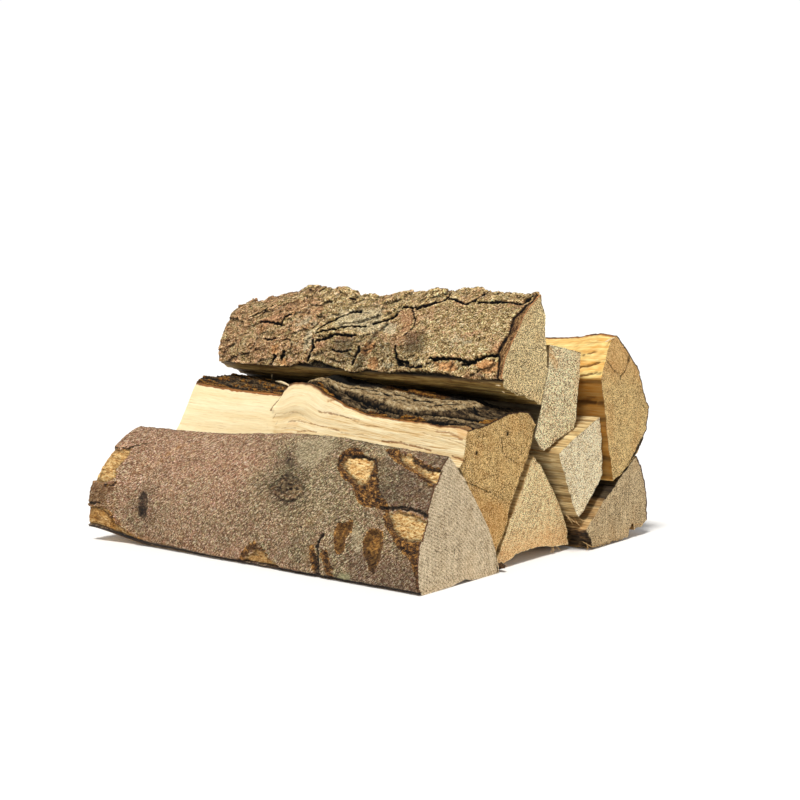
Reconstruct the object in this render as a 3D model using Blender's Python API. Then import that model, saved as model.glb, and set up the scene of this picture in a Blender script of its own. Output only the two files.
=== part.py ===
# Bundle of split hardwood firewood: eight short logs stacked three layers high.
#
# Every log was sawn square across from a round of about a third of a metre and
# split along the grain, so each one is a loft between the cross-section at its
# right-hand sawn end and the one at its left-hand end.  The sides are either
# split faces, which are nearly flat, or bark, which keeps the bow of the trunk.
#
# The pile's own coordinates, in millimetres, start at the right-hand front
# bottom corner of the front log: x runs along the logs (0 at that end, minus
# towards the other end), y runs back across the pile, z runs up.  The finished
# object is centred on the origin, with the surface it rests on at z = 0.

import bpy
import bmesh
import math
import numpy as np
from mathutils import Vector, Matrix

MM = 0.001
STATIONS = 16              # spans along each log
PILE_CENTRE = (-164.0, 132.2)   # x, y of the middle of the pile, in mm

# A side is (kind, facets, bow at the right end, bow at the left end): the bow
# is how far the middle of the side stands out from the straight chord, in mm.
# A swell is (corner, place along the log 0..1, half length 0..1, dy, dz).
# lean is how far the left-hand saw cut leans along x for each mm of height.
LOGS = {
    # smooth-barked front log: flat underside, split back, bowed bark front
    "front_log": dict(
        x=(0, -332), colour=(0.30, 0.24, 0.20), roughness=0.85,
        right=[(0, 0), (94, 0), (33, 94)],
        left=[(-22, 0), (70, 0), (19, 93)],
        sides=[("split", 3, 0, 0), ("split", 5, 8, 3), ("bark", 8, 10.5, 18)],
        swells=[(2, 0.36, 0.42, 0, 7), (0, 1.0, 0.18, -11, 11)],
        lean=0.09),
    # pale split face to the front, furrowed bark on top, a knot that lifts it
    "middle_log": dict(
        x=(-6, -334), colour=(0.72, 0.52, 0.28), roughness=0.70,
        right=[(53, 83), (97, 13), (149, 106), (63, 108)],
        left=[(62, 82), (116, 30), (162, 120), (88, 126)],
        sides=[("split", 3, 2, 0), ("split", 4, 1, 2), ("bark", 7, 11, 8), ("split", 2, 0, 0)],
        swells=[(3, 0.46, 0.40, 0, 5), (3, 0.545, 0.085, 1, 9)]),
    # rough flaky bark to the front and top, split underside and back
    "top_log": dict(
        x=(-4, -336), colour=(0.26, 0.20, 0.14), roughness=0.92,
        right=[(99, 141), (154, 121), (164, 150), (152, 205)],
        left=[(117, 143.5), (158, 125), (171, 150), (153, 201)],
        sides=[("split", 3, 1, 0), ("split", 2, 0, 0), ("split", 3, 1, 1), ("bark", 8, 5, 9)],
        swells=[(3, 0.74, 0.22, 0, 12), (3, 0.22, 0.26, 0, 7)]),
    # wedge with its thin edge up, its underside hollowed at the right end
    "low_log": dict(
        x=(-6, -338), colour=(0.62, 0.48, 0.29), roughness=0.75,
        right=[(98, 4), (198, 4), (147, 81)],
        left=[(102, 0), (208, 0), (148, 85)],
        sides=[("split", 4, -4, 0), ("split", 5, 5, 4), ("split", 3, 0, 0)]),
    # upright slab that stands on the diamond log behind the top log
    "upright_log": dict(
        x=(-5, -336), colour=(0.66, 0.57, 0.41), roughness=0.78,
        right=[(146.5, 96), (159.5, 84.5), (202.5, 98.5), (211.5, 159.5), (165, 167.5), (165, 149.5)],
        left=[(157, 101), (168, 88), (210, 101), (217, 153), (174, 160), (173.5, 147)],
        sides=[("split", 2, 0, 0), ("split", 2, 0, 0), ("split", 3, 0, 0),
               ("split", 2, 0, 0), ("split", 1, 0, 0), ("split", 3, 0, 0)]),
    # diamond-shaped heart split, wedged point down between its neighbours
    "diamond_log": dict(
        x=(5, -328), colour=(0.68, 0.60, 0.46), roughness=0.78,
        right=[(166, 82.5), (195, 27.5), (230.5, 57.5), (225.5, 106.5)],
        left=[(165, 84), (199, 18), (236, 56), (226, 103)],
        sides=[("split", 3, 0, 0), ("split", 2, 0, 0), ("split", 2, 0, 0), ("split", 3, 0, 0)]),
    # half round at the back with thin bark down its outer side
    "round_log": dict(
        x=(10, -324), colour=(0.66, 0.44, 0.20), roughness=0.72,
        right=[(239.5, 52.5), (281.5, 75), (297.5, 110), (241.5, 172.5), (218.5, 137)],
        left=[(241, 53), (282, 76), (297, 109), (245, 167), (221, 133)],
        sides=[("split", 2, 1, 1), ("bark", 2, 2, 2), ("bark", 7, 9, 9),
               ("split", 3, 2, 2), ("split", 3, -1, -1)]),
    # low back log with a torn underside and thin bark on its outer side
    "torn_log": dict(
        x=(10, -327), colour=(0.52, 0.43, 0.30), roughness=0.80,
        right=[(206.5, 0), (279.5, 0), (297.5, 12), (277.5, 69.5), (197.5, 17.5)],
        left=[(210, 0), (281, 0), (297, 14), (280, 69), (203, 15)],
        sides=[("split", 3, 0, 0), ("split", 1, 0, 0), ("bark", 5, 4, 4),
               ("split", 3, 0, 0), ("split", 1, 0, 0)]),
}


def bump(s, centre, half):
    """Smooth rise and fall between centre - half and centre + half."""
    u = (s - centre) / half
    return 0.5 * (1.0 + math.cos(math.pi * u)) if abs(u) < 1.0 else 0.0


def corners_at(log, s):
    """Corners of the cross-section at s = 0 (right end) .. 1 (left end)."""
    pts = np.array(log["right"], float) * (1 - s) + np.array(log["left"], float) * s
    for corner, centre, half, dy, dz in log.get("swells", ()):
        pts[corner] += np.array([dy, dz]) * bump(s, centre, half)
    return pts


def outline_at(log, s):
    """Whole cross-section at s, counter-clockwise seen from the right end."""
    pts = corners_at(log, s)
    ring = []
    for i, (kind, facets, bow_r, bow_l) in enumerate(log["sides"]):
        a, b = pts[i], pts[(i + 1) % len(pts)]
        run = b - a
        out = np.array([run[1], -run[0]]) / np.hypot(*run)
        bow = bow_r * (1 - s) + bow_l * s
        for k in range(facets):
            t = k / facets
            ring.append(a + run * t + out * bow * 4 * t * (1 - t))
    return ring


def rings_of(log):
    """All cross-sections of a log in pile coordinates, in metres."""
    x_r, x_l = log["x"]
    rings = []
    for j in range(STATIONS + 1):
        s = j / STATIONS
        x = x_r + (x_l - x_r) * s
        lean = log.get("lean", 0.0) * s * s
        rings.append([Vector(((x + lean * (z - 45) - PILE_CENTRE[0]) * MM,
                              (y - PILE_CENTRE[1]) * MM, z * MM))
                      for y, z in outline_at(log, s)])
    return rings


def placement(rings):
    """A log's own origin and direction: the middle of its axis, along its axis."""
    ends = [sum(ring, Vector()) / len(ring) for ring in (rings[-1], rings[0])]
    middle = (ends[0] + ends[1]) / 2
    axis = ends[1] - ends[0]
    yaw = math.atan2(axis.y, axis.x)
    tilt = -math.atan2(axis.z, math.hypot(axis.x, axis.y))
    return middle, (0.0, tilt, yaw)


def make_material(name, colour, roughness):
    mat = bpy.data.materials.new(name)
    mat.use_nodes = True
    bsdf = mat.node_tree.nodes["Principled BSDF"]
    bsdf.inputs["Base Color"].default_value = (*colour, 1.0)
    bsdf.inputs["Roughness"].default_value = roughness
    bsdf.inputs["Metallic"].default_value = 0.0
    return mat


def make_log(name, log, collection, pile):
    rings = rings_of(log)
    location, rotation = placement(rings)
    obj = bpy.data.objects.new(name, bpy.data.meshes.new(name))
    collection.objects.link(obj)
    obj.parent = pile
    obj.location = location
    obj.rotation_euler = rotation
    to_local = (Matrix.Translation(location)
                @ Matrix.Rotation(rotation[2], 4, "Z")
                @ Matrix.Rotation(rotation[1], 4, "Y")).inverted()

    bm = bmesh.new()
    loops = [[bm.verts.new(to_local @ p) for p in ring] for ring in rings]
    count = len(loops[0])
    for a, b in zip(loops, loops[1:]):            # the long sides, ring to ring
        for k in range(count):
            n = (k + 1) % count
            bm.faces.new((a[k], b[k], b[n], a[n]))
    for loop in (loops[0], loops[-1]):            # the two sawn ends
        bmesh.ops.contextual_create(bm, geom=loop)
    bmesh.ops.triangulate(bm, faces=bm.faces[:])
    bmesh.ops.recalc_face_normals(bm, faces=bm.faces[:])
    bm.to_mesh(obj.data)
    bm.free()
    obj.data.shade_smooth()
    obj.data.set_sharp_from_angle(angle=math.radians(28))
    obj.data.materials.append(make_material(name + "_wood", log["colour"], log["roughness"]))
    return obj


def main():
    for obj in list(bpy.data.objects):
        bpy.data.objects.remove(obj, do_unlink=True)
    collection = bpy.data.collections.new("firewood_bundle")
    bpy.context.scene.collection.children.link(collection)
    pile = bpy.data.objects.new("pile", None)
    collection.objects.link(pile)
    for name, log in LOGS.items():
        make_log(name, log, collection, pile)
    bpy.context.view_layer.update()


main()
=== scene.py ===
# Looks of the bundle of split hardwood firewood: eight logs, each a fine mesh
# in place of its plain solid, with bark, split faces and sawn ends.
import bpy
import math
import numpy as np
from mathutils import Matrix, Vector


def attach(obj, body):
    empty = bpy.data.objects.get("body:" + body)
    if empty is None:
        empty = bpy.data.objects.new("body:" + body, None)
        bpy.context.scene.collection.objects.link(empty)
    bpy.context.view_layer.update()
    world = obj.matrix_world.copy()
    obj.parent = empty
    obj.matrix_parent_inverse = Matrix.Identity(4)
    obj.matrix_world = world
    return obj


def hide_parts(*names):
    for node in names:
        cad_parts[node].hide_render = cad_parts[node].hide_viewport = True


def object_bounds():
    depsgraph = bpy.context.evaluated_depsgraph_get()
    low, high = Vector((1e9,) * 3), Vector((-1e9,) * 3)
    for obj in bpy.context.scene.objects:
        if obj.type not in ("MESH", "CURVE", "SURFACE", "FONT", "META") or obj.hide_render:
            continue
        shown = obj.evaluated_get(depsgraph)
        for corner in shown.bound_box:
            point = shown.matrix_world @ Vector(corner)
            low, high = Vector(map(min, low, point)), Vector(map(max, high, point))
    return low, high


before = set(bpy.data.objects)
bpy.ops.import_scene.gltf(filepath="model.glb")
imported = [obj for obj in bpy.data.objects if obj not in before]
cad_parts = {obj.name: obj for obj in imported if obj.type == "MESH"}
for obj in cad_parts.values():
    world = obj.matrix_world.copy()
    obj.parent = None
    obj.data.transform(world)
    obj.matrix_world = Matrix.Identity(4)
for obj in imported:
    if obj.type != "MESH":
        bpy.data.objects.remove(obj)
CAD_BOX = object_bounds()

MM = 0.001
CENTRE = (-164.0, 132.2)          # x, y of the middle of the pile, in mm
LIMITS = [[CAD_BOX[i][0] / MM + CENTRE[0] + e, CAD_BOX[i][1] / MM + CENTRE[1] + e, CAD_BOX[i][2] / MM + e]
          for i, e in ((0, 0.03), (1, -0.03))]           # nothing passes the solids' own box

# The same cross-sections as the solids, in the pile's own millimetres: corners
# at the right and left ends, sides as (kind, bow right, bow left), swells as
# (corner, place, half length, dy, dz).  relief is each side's own profile at
# the right end, (place along the side, mm outwards), fading to the left.
LOGS = {
    "front_log": dict(
        x=(0, -332), right=[(0, 0), (94, 0), (33, 94)], left=[(-22, 0), (70, 0), (19, 93)],
        sides=[("split", 0, 0), ("split", 8, 3), ("bark", 10.5, 18)],
        swells=[(2, 0.36, 0.42, 0, 7), (0, 1.0, 0.18, -11, 11)], lean=0.09,
        relief={1: [(0, 0), (.1, .8), (.2, 1.2), (.35, .5), (.5, -.9), (.68, -1.2), (.87, -.6), (1, 0)],
                2: [(0, 0), (.1, 1.8), (.18, 1.8), (.27, .4), (.4, -.4), (.5, -.2), (.6, .9), (.7, 1.6), (.8, 1.4), (.9, .7), (1, 0)]}),
    "middle_log": dict(
        x=(-6, -334), right=[(53, 83), (97, 13), (149, 106), (63, 108)],
        left=[(62, 82), (116, 30), (162, 120), (88, 126)],
        sides=[("split", 2, 0), ("split", 1, 2), ("bark", 11, 8), ("split", 0, 0)],
        swells=[(3, 0.46, 0.40, 0, 5), (3, 0.545, 0.085, 1, 9)],
        relief={0: [(0, 0), (.26, -1.5), (.5, -2), (.8, -1.5), (1, 0)],
                1: [(0, 0), (.14, 1.6), (.24, 2.4), (.36, -1), (.5, -.4), (.66, 1.6), (.77, 2), (.87, 1.8), (1, 0)],
                2: [(0, 0), (.13, 2), (.27, 1.6), (.39, .6), (.55, -3.2), (.71, -5.2), (.84, -4), (1, 0)],
                3: [(0, 0), (.12, .4), (.48, -2), (.81, -2), (1, 0)]}),
    "top_log": dict(
        x=(-4, -336), right=[(99, 141), (154, 121), (164, 150), (152, 205)],
        left=[(117, 143.5), (158, 125), (171, 150), (153, 201)],
        sides=[("split", 1, 0), ("split", 0, 0), ("split", 1, 1), ("bark", 5, 9)],
        swells=[(3, 0.74, 0.22, 0, 10), (3, 0.22, 0.26, 0, 5)],
        relief={0: [(0, 0), (.25, 1.4), (.6, -1.2), (1, 0)],
                2: [(0, 0), (.3, .8), (.65, 1.6), (.9, .8), (1, 0)],
                3: [(0, 0), (.08, 2.2), (.2, 4.6), (.32, 5.2), (.45, 4.2), (.6, 4.2), (.75, 5), (.86, 4), (.94, 1.5), (1, 0)]}),
    "low_log": dict(
        x=(-6, -338), right=[(98, 4), (198, 4), (147, 81)], left=[(102, 0), (208, 0), (148, 85)],
        sides=[("split", -4, 0), ("split", 5, 4), ("split", 0, 0)],
        relief={0: [(0, 0), (.1, 1.6), (.2, .8), (.32, -1), (.5, -1), (.7, 0), (.8, 1.2), (1, 0)],
                1: [(0, 0), (.15, 2.6), (.28, 3.2), (.46, 2), (.65, 1.2), (.83, 1.6), (1, 0)],
                2: [(0, 0), (.06, .8), (.2, .4), (.5, .8), (.7, 1.4), (.86, 1.2), (1, 0)]}),
    "upright_log": dict(
        x=(-5, -336),
        right=[(146.5, 96), (159.5, 84.5), (202.5, 98.5), (211.5, 159.5), (165, 167.5), (165, 149.5)],
        left=[(157, 101), (168, 88), (210, 101), (217, 153), (174, 160), (173.5, 147)],
        sides=[("split", 0, 0)] * 6,
        relief={0: [(0, 0), (.5, 1.5), (1, 0)], 1: [(0, 0), (.36, -.5), (.6, -1.1), (.88, 1), (1, 0)],
                2: [(0, 0), (.13, 1.6), (.4, 1.2), (.6, 1.2), (.8, .6), (1, 0)]}),
    "diamond_log": dict(
        x=(5, -328), right=[(166, 82.5), (195, 27.5), (230.5, 57.5), (225.5, 106.5)],
        left=[(165, 84), (199, 18), (236, 56), (226, 103)],
        sides=[("split", 0, 0)] * 4,
        relief={0: [(0, 0), (.13, .8), (.39, 1.4), (.64, 1.6), (.88, 1.4), (1, 0)],
                1: [(0, 0), (.3, 1.4), (.64, 1), (1, 0)], 2: [(0, 0), (.6, 1.2), (1, 0)],
                3: [(0, 0), (.4, .8), (.7, 1), (1, 0)]}),
    "round_log": dict(
        x=(10, -324),
        right=[(239.5, 52.5), (281.5, 75), (297.5, 110), (241.5, 172.5), (218.5, 137)],
        left=[(241, 53), (282, 76), (297, 109), (245, 167), (221, 133)],
        sides=[("split", 1, 1), ("bark", 2, 2), ("bark", 9, 9), ("split", 2, 2), ("split", -1, -1)],
        relief={0: [(0, 0), (.19, 1), (.45, 1.2), (.73, 1), (1, 0)],
                1: [(0, 0), (.3, .4), (.5, 2.6), (.74, 1.4), (1, 0)],
                2: [(0, 0), (.09, -3), (.21, -4.2), (.34, -2.4), (.47, -.9), (.63, -2.6), (.81, -1.4), (1, 0)],
                3: [(0, 0), (.19, 3.2), (.42, 3.2), (.59, 1), (.8, 1), (1, 0)],
                4: [(0, 0), (.2, .4), (.48, 1.6), (.69, 1), (1, 0)]}),
    "torn_log": dict(
        x=(10, -327),
        right=[(206.5, 0), (279.5, 0), (297.5, 12), (277.5, 69.5), (197.5, 17.5)],
        left=[(210, 0), (281, 0), (297, 14), (280, 69), (203, 15)],
        sides=[("split", 0, 0), ("split", 0, 0), ("bark", 4, 4), ("split", 0, 0), ("split", 0, 0)],
        relief={0: [(0, 0), (.33, .2), (.8, -.6), (.84, -1), (.87, -9), (.92, -12), (1, -9)],
                1: [(0, -7), (.4, -3), (.8, -.6), (1, 0)],
                2: [(0, 0), (.35, 1.4), (.6, 1.8), (.8, 1.6), (1, 0)],
                3: [(0, 0), (.2, 1), (.43, 1.4), (.6, 1.6), (.8, .8), (1, 0)],
                4: [(0, 0), (.57, -1.6), (1, 0)]}),
}


# ------------------------------------------------------------------ noise
def rnd(ix, iy, seed):
    h = (ix * 374761393 + iy * 668265263 + seed * 1442695041) & 0xFFFFFFFF
    h = ((h ^ (h >> 13)) * 1274126177) & 0xFFFFFFFF
    h = ((h ^ (h >> 16)) * 2246822519) & 0xFFFFFFFF
    return ((h ^ (h >> 15)) & 0xFFFFFF) / 16777216.0


def noise(x, y, seed=0):
    """Gradient noise, about -1 to 1."""
    xf, yf = np.floor(x), np.floor(y)
    fx, fy = x - xf, y - yf
    xi, yi = xf.astype(np.int64), yf.astype(np.int64)
    ux = fx * fx * fx * (fx * (fx * 6 - 15) + 10)
    uy = fy * fy * fy * (fy * (fy * 6 - 15) + 10)
    out = 0.0
    for ox in (0, 1):
        for oy in (0, 1):
            a = rnd(xi + ox, yi + oy, seed) * 6.2831853
            g = np.cos(a) * (fx - ox) + np.sin(a) * (fy - oy)
            out = out + g * (ux if ox else 1 - ux) * (uy if oy else 1 - uy)
    return out * 1.6


def fbm(x, y, octaves=4, gain=0.5, seed=0):
    out, amp, total = 0.0, 1.0, 0.0
    for o in range(octaves):
        out = out + amp * noise(x, y, seed + o * 17)
        total += amp
        amp *= gain
        x, y = x * 1.93 + y * 0.31 + 5.2, y * 1.93 - x * 0.31 + 1.3
    return out / total


def ridged(x, y, octaves=4, gain=0.55, seed=0):
    """Sharp crests, 0 to 1."""
    out, amp, total = 0.0, 1.0, 0.0
    for o in range(octaves):
        out = out + amp * (1 - np.abs(noise(x, y, seed + o * 23))) ** 2
        total += amp
        amp *= gain
        x, y = x * 1.97 + 3.1, y * 1.97 + 7.7
    return out / total


def cells(x, y, seed=0, jitter=0.85):
    """Nearest and second nearest cell point: F1, F2, a random value per cell,
    and the way to the nearest point."""
    xi, yi = np.floor(x).astype(np.int64), np.floor(y).astype(np.int64)
    f1 = np.full(x.shape, 9.0)
    f2 = np.full(x.shape, 9.0)
    cid, dx1, dy1 = np.zeros(x.shape), np.zeros(x.shape), np.zeros(x.shape)
    for ox in (-1, 0, 1):
        for oy in (-1, 0, 1):
            cx, cy = xi + ox, yi + oy
            px = cx + 0.5 + (rnd(cx, cy, seed) - 0.5) * jitter
            py = cy + 0.5 + (rnd(cx, cy, seed + 101) - 0.5) * jitter
            dx, dy = px - x, py - y
            d = np.hypot(dx, dy)
            near = d < f1
            f2 = np.where(near, f1, np.minimum(f2, d))
            cid = np.where(near, rnd(cx, cy, seed + 202), cid)
            dx1, dy1 = np.where(near, dx, dx1), np.where(near, dy, dy1)
            f1 = np.where(near, d, f1)
    return f1, f2, cid, dx1, dy1


def plates(x, y, seed, count, cliff=0.2, tilt=0.35):
    """Stacked plates with torn outlines: height 0 to 1, the foot of each cliff,
    and a random value per level."""
    h = (np.clip(fbm(x, y, 3, 0.42, seed) * 0.68, -0.5, 0.5) + 0.5) * count
    k = np.floor(h)
    f = h - k
    up = step(1 - cliff, 1.0, f)
    return (k + up + tilt * f * (1 - up)) / count, step(1 - cliff * 2.2, 1 - cliff, f) * (1 - step(1 - cliff * 0.8, 1.0, f)), rnd(k.astype(np.int64), k.astype(np.int64) * 7 + 3, seed)


def step(a, b, v):
    u = np.clip((v - a) / (b - a), 0, 1)
    return u * u * (3 - 2 * u)


def bump(s, centre, half):
    u = (s - centre) / half
    return np.where(np.abs(u) < 1, 0.5 * (1 + np.cos(np.pi * np.clip(u, -1, 1))), 0.0)


def region(x, w, outline):
    """Signed distance to a closed outline in mm, positive inside."""
    d = np.full(x.shape, 1e9)
    inside = np.zeros(x.shape, bool)
    n = len(outline)
    for i in range(n):
        ax, ay = outline[i]
        bx, by = outline[(i + 1) % n]
        ex, ey = bx - ax, by - ay
        px, py = x - ax, w - ay
        h = np.clip((px * ex + py * ey) / (ex * ex + ey * ey + 1e-9), 0, 1)
        d = np.minimum(d, np.hypot(px - ex * h, py - ey * h))
        if by != ay:
            cross = (w >= min(ay, by)) & (w < max(ay, by)) & (x < ax + (w - ay) * ex / ey)
            inside ^= cross
    return np.where(inside, d, -d)


def line(x, w, points):
    """Distance to an open line in mm, and which side of it: +1 or -1."""
    d = np.full(x.shape, 1e9)
    side = np.zeros(x.shape)
    for (ax, ay), (bx, by) in zip(points, points[1:]):
        ex, ey = bx - ax, by - ay
        px, py = x - ax, w - ay
        h = np.clip((px * ex + py * ey) / (ex * ex + ey * ey + 1e-9), 0, 1)
        e = np.hypot(px - ex * h, py - ey * h)
        side = np.where(e < d, np.sign(px * ey - py * ex), side)
        d = np.minimum(d, e)
    return d, side


# ------------------------------------------------------------ log surfaces
def base_grid(log, ns, cols):
    """x, y, z of the plain log on a grid: rows along it, columns around it."""
    s = np.linspace(0, 1, ns + 1)
    right, left = np.array(log["right"], float), np.array(log["left"], float)
    P = right[None] * (1 - s)[:, None, None] + left[None] * s[:, None, None]
    for corner, centre, half, dy, dz in log.get("swells", ()):
        P[:, corner] += bump(s, centre, half)[:, None] * np.array([dy, dz])
    n = len(right)
    Y, Z, K, T, L = [], [], [], [], []
    for k, (kind, bow_r, bow_l) in enumerate(log["sides"]):
        a, b = P[:, k], P[:, (k + 1) % n]
        run = b - a
        length = np.hypot(run[:, 0], run[:, 1])
        out = np.stack([run[:, 1], -run[:, 0]], 1) / length[:, None]
        bow = bow_r * (1 - s) + bow_l * s
        t = np.arange(cols[k]) / cols[k]
        prof = np.zeros(cols[k])
        if k in log.get("relief", {}):
            at, off = zip(*log["relief"][k])
            prof = np.interp(t, at, off)
        fade = 0.35 + 0.65 * np.exp(-s * 4.0)
        rise = bow[:, None] * 4 * t * (1 - t) + prof[None] * fade[:, None]
        Y.append(a[:, None, 0] + run[:, None, 0] * t + out[:, None, 0] * rise)
        Z.append(a[:, None, 1] + run[:, None, 1] * t + out[:, None, 1] * rise)
        K.append(np.full(cols[k], k))
        T.append(t)
        L.append(length.mean() + 1.5 * abs(bow).mean() ** 2 / length.mean())
    Y, Z = np.concatenate(Y, 1), np.concatenate(Z, 1)
    K, T = np.concatenate(K), np.concatenate(T)
    x_r, x_l = log["x"]
    X = (x_r + (x_l - x_r) * s)[:, None] + (log.get("lean", 0.0) * s * s)[:, None] * (Z - 45)
    starts = np.concatenate([[0], np.cumsum(L)])
    W = starts[K] + T * np.array(L)[K]
    return X, Y, Z, K, T, W, starts, s


def around(a, reach):
    """Average of a over 2 * reach + 1 neighbours around the log."""
    out = a.copy()
    for i in range(1, reach + 1):
        out = out + np.roll(a, i, 1) + np.roll(a, -i, 1)
    return out / (2 * reach + 1)


def soften(a, rows, cols):
    """Average of a over a window on the log's grid."""
    p = np.pad(a, ((rows, rows), (0, 0)), mode="edge")
    c = np.cumsum(np.vstack([np.zeros(p.shape[1]), p]), 0)
    out = (c[2 * rows + 1:] - c[:-2 * rows - 1]) / (2 * rows + 1)
    return around(out, cols)


def outward(Y, Z, reach):
    """Unit normals in each cross-section, smoothed around the corners."""
    ty, tz = np.roll(Y, -1, 1) - np.roll(Y, 1, 1), np.roll(Z, -1, 1) - np.roll(Z, 1, 1)
    n = np.hypot(ty, tz)
    ny, nz = tz / n, -ty / n
    ny, nz = around(ny, reach), around(nz, reach)
    n = np.hypot(ny, nz)
    return ny / n, nz / n


def edge_distance(log, K, W, starts):
    """How far along the surface each column is from the nearest bark edge, in mm."""
    total = starts[-1]
    cut = np.full(W.shape, 99.0)
    for k, side in enumerate(log["sides"]):
        if side[0] != "bark":
            continue
        for edge in (starts[k], starts[k + 1]):
            d = np.abs(W - edge)
            cut = np.minimum(cut, np.minimum(d, total - d))
    is_bark = np.array([log["sides"][k][0] == "bark" for k in K])
    return np.where(is_bark, -cut, cut)


def cap(points, faces, uvs, ring, yz, gap, x_at, away, offset):
    """Fills one sawn end with rings that thin out towards the middle."""
    n = len(ring)
    nxt = np.roll(yz, -1, 0)
    cross = yz[:, 0] * nxt[:, 1] - nxt[:, 0] * yz[:, 1]
    c = ((yz + nxt) * cross[:, None]).sum(0) / (3 * cross.sum())
    smooth = yz.copy()
    for _ in range(8):
        smooth = (np.roll(smooth, 1, 0) + 2 * smooth + np.roll(smooth, -1, 0)) / 4
    span = np.hypot(*(yz - c).T).mean()
    length = np.hypot(*(nxt - yz).T).sum()
    pitch, stride, f = length / n, 1, 1.0
    prev, prev_yz = np.array(ring), yz
    while True:
        f -= gap / span
        if f < 0.6 * gap / span:
            break
        thin = length * f / (n // stride) < 0.55 * max(pitch, gap * 0.8) and (n // stride) % 2 == 0 and n // stride > 12
        new = stride * 2 if thin else stride
        k = min(1.0, (1 - f) * 6)
        cur_yz = c + ((yz * (1 - k) + smooth * k)[::new] - c) * f
        first = sum(len(p) for p in points)
        points.append(np.column_stack([x_at(cur_yz), cur_yz]))
        cur = first + np.arange(len(cur_yz))
        if new == stride:
            quad = np.stack([prev, np.roll(prev, -1), np.roll(cur, -1), cur], 1)
            quv = np.stack([prev_yz, np.roll(prev_yz, -1, 0), np.roll(cur_yz, -1, 0), cur_yz], 1)
            if away:
                quad, quv = quad[:, ::-1], quv[:, ::-1]
            faces[4].append(quad)
            uvs[4].append(quv + offset)
        else:
            a, b, d = prev[::2], prev[1::2], np.roll(prev[::2], -1)
            e, g = cur, np.roll(cur, -1)
            ay, by, dy = prev_yz[::2], prev_yz[1::2], np.roll(prev_yz[::2], -1, 0)
            ey, gy = cur_yz, np.roll(cur_yz, -1, 0)
            tri = np.concatenate([np.stack([a, b, e], 1), np.stack([b, g, e], 1), np.stack([b, d, g], 1)])
            tuv = np.concatenate([np.stack([ay, by, ey], 1), np.stack([by, gy, ey], 1), np.stack([by, dy, gy], 1)])
            if away:
                tri, tuv = tri[:, ::-1], tuv[:, ::-1]
            faces[3].append(tri)
            uvs[3].append(tuv + offset)
        prev, prev_yz, stride = cur, cur_yz, new
    first = sum(len(p) for p in points)
    points.append(np.column_stack([x_at(c[None]), c[None]]))
    tri = np.stack([prev, np.roll(prev, -1), np.full(len(prev), first)], 1)
    tuv = np.stack([prev_yz, np.roll(prev_yz, -1, 0), np.repeat(c[None], len(prev), 0)], 1)
    if away:
        tri, tuv = tri[:, ::-1], tuv[:, ::-1]
    faces[3].append(tri)
    uvs[3].append(tuv + offset)


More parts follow.
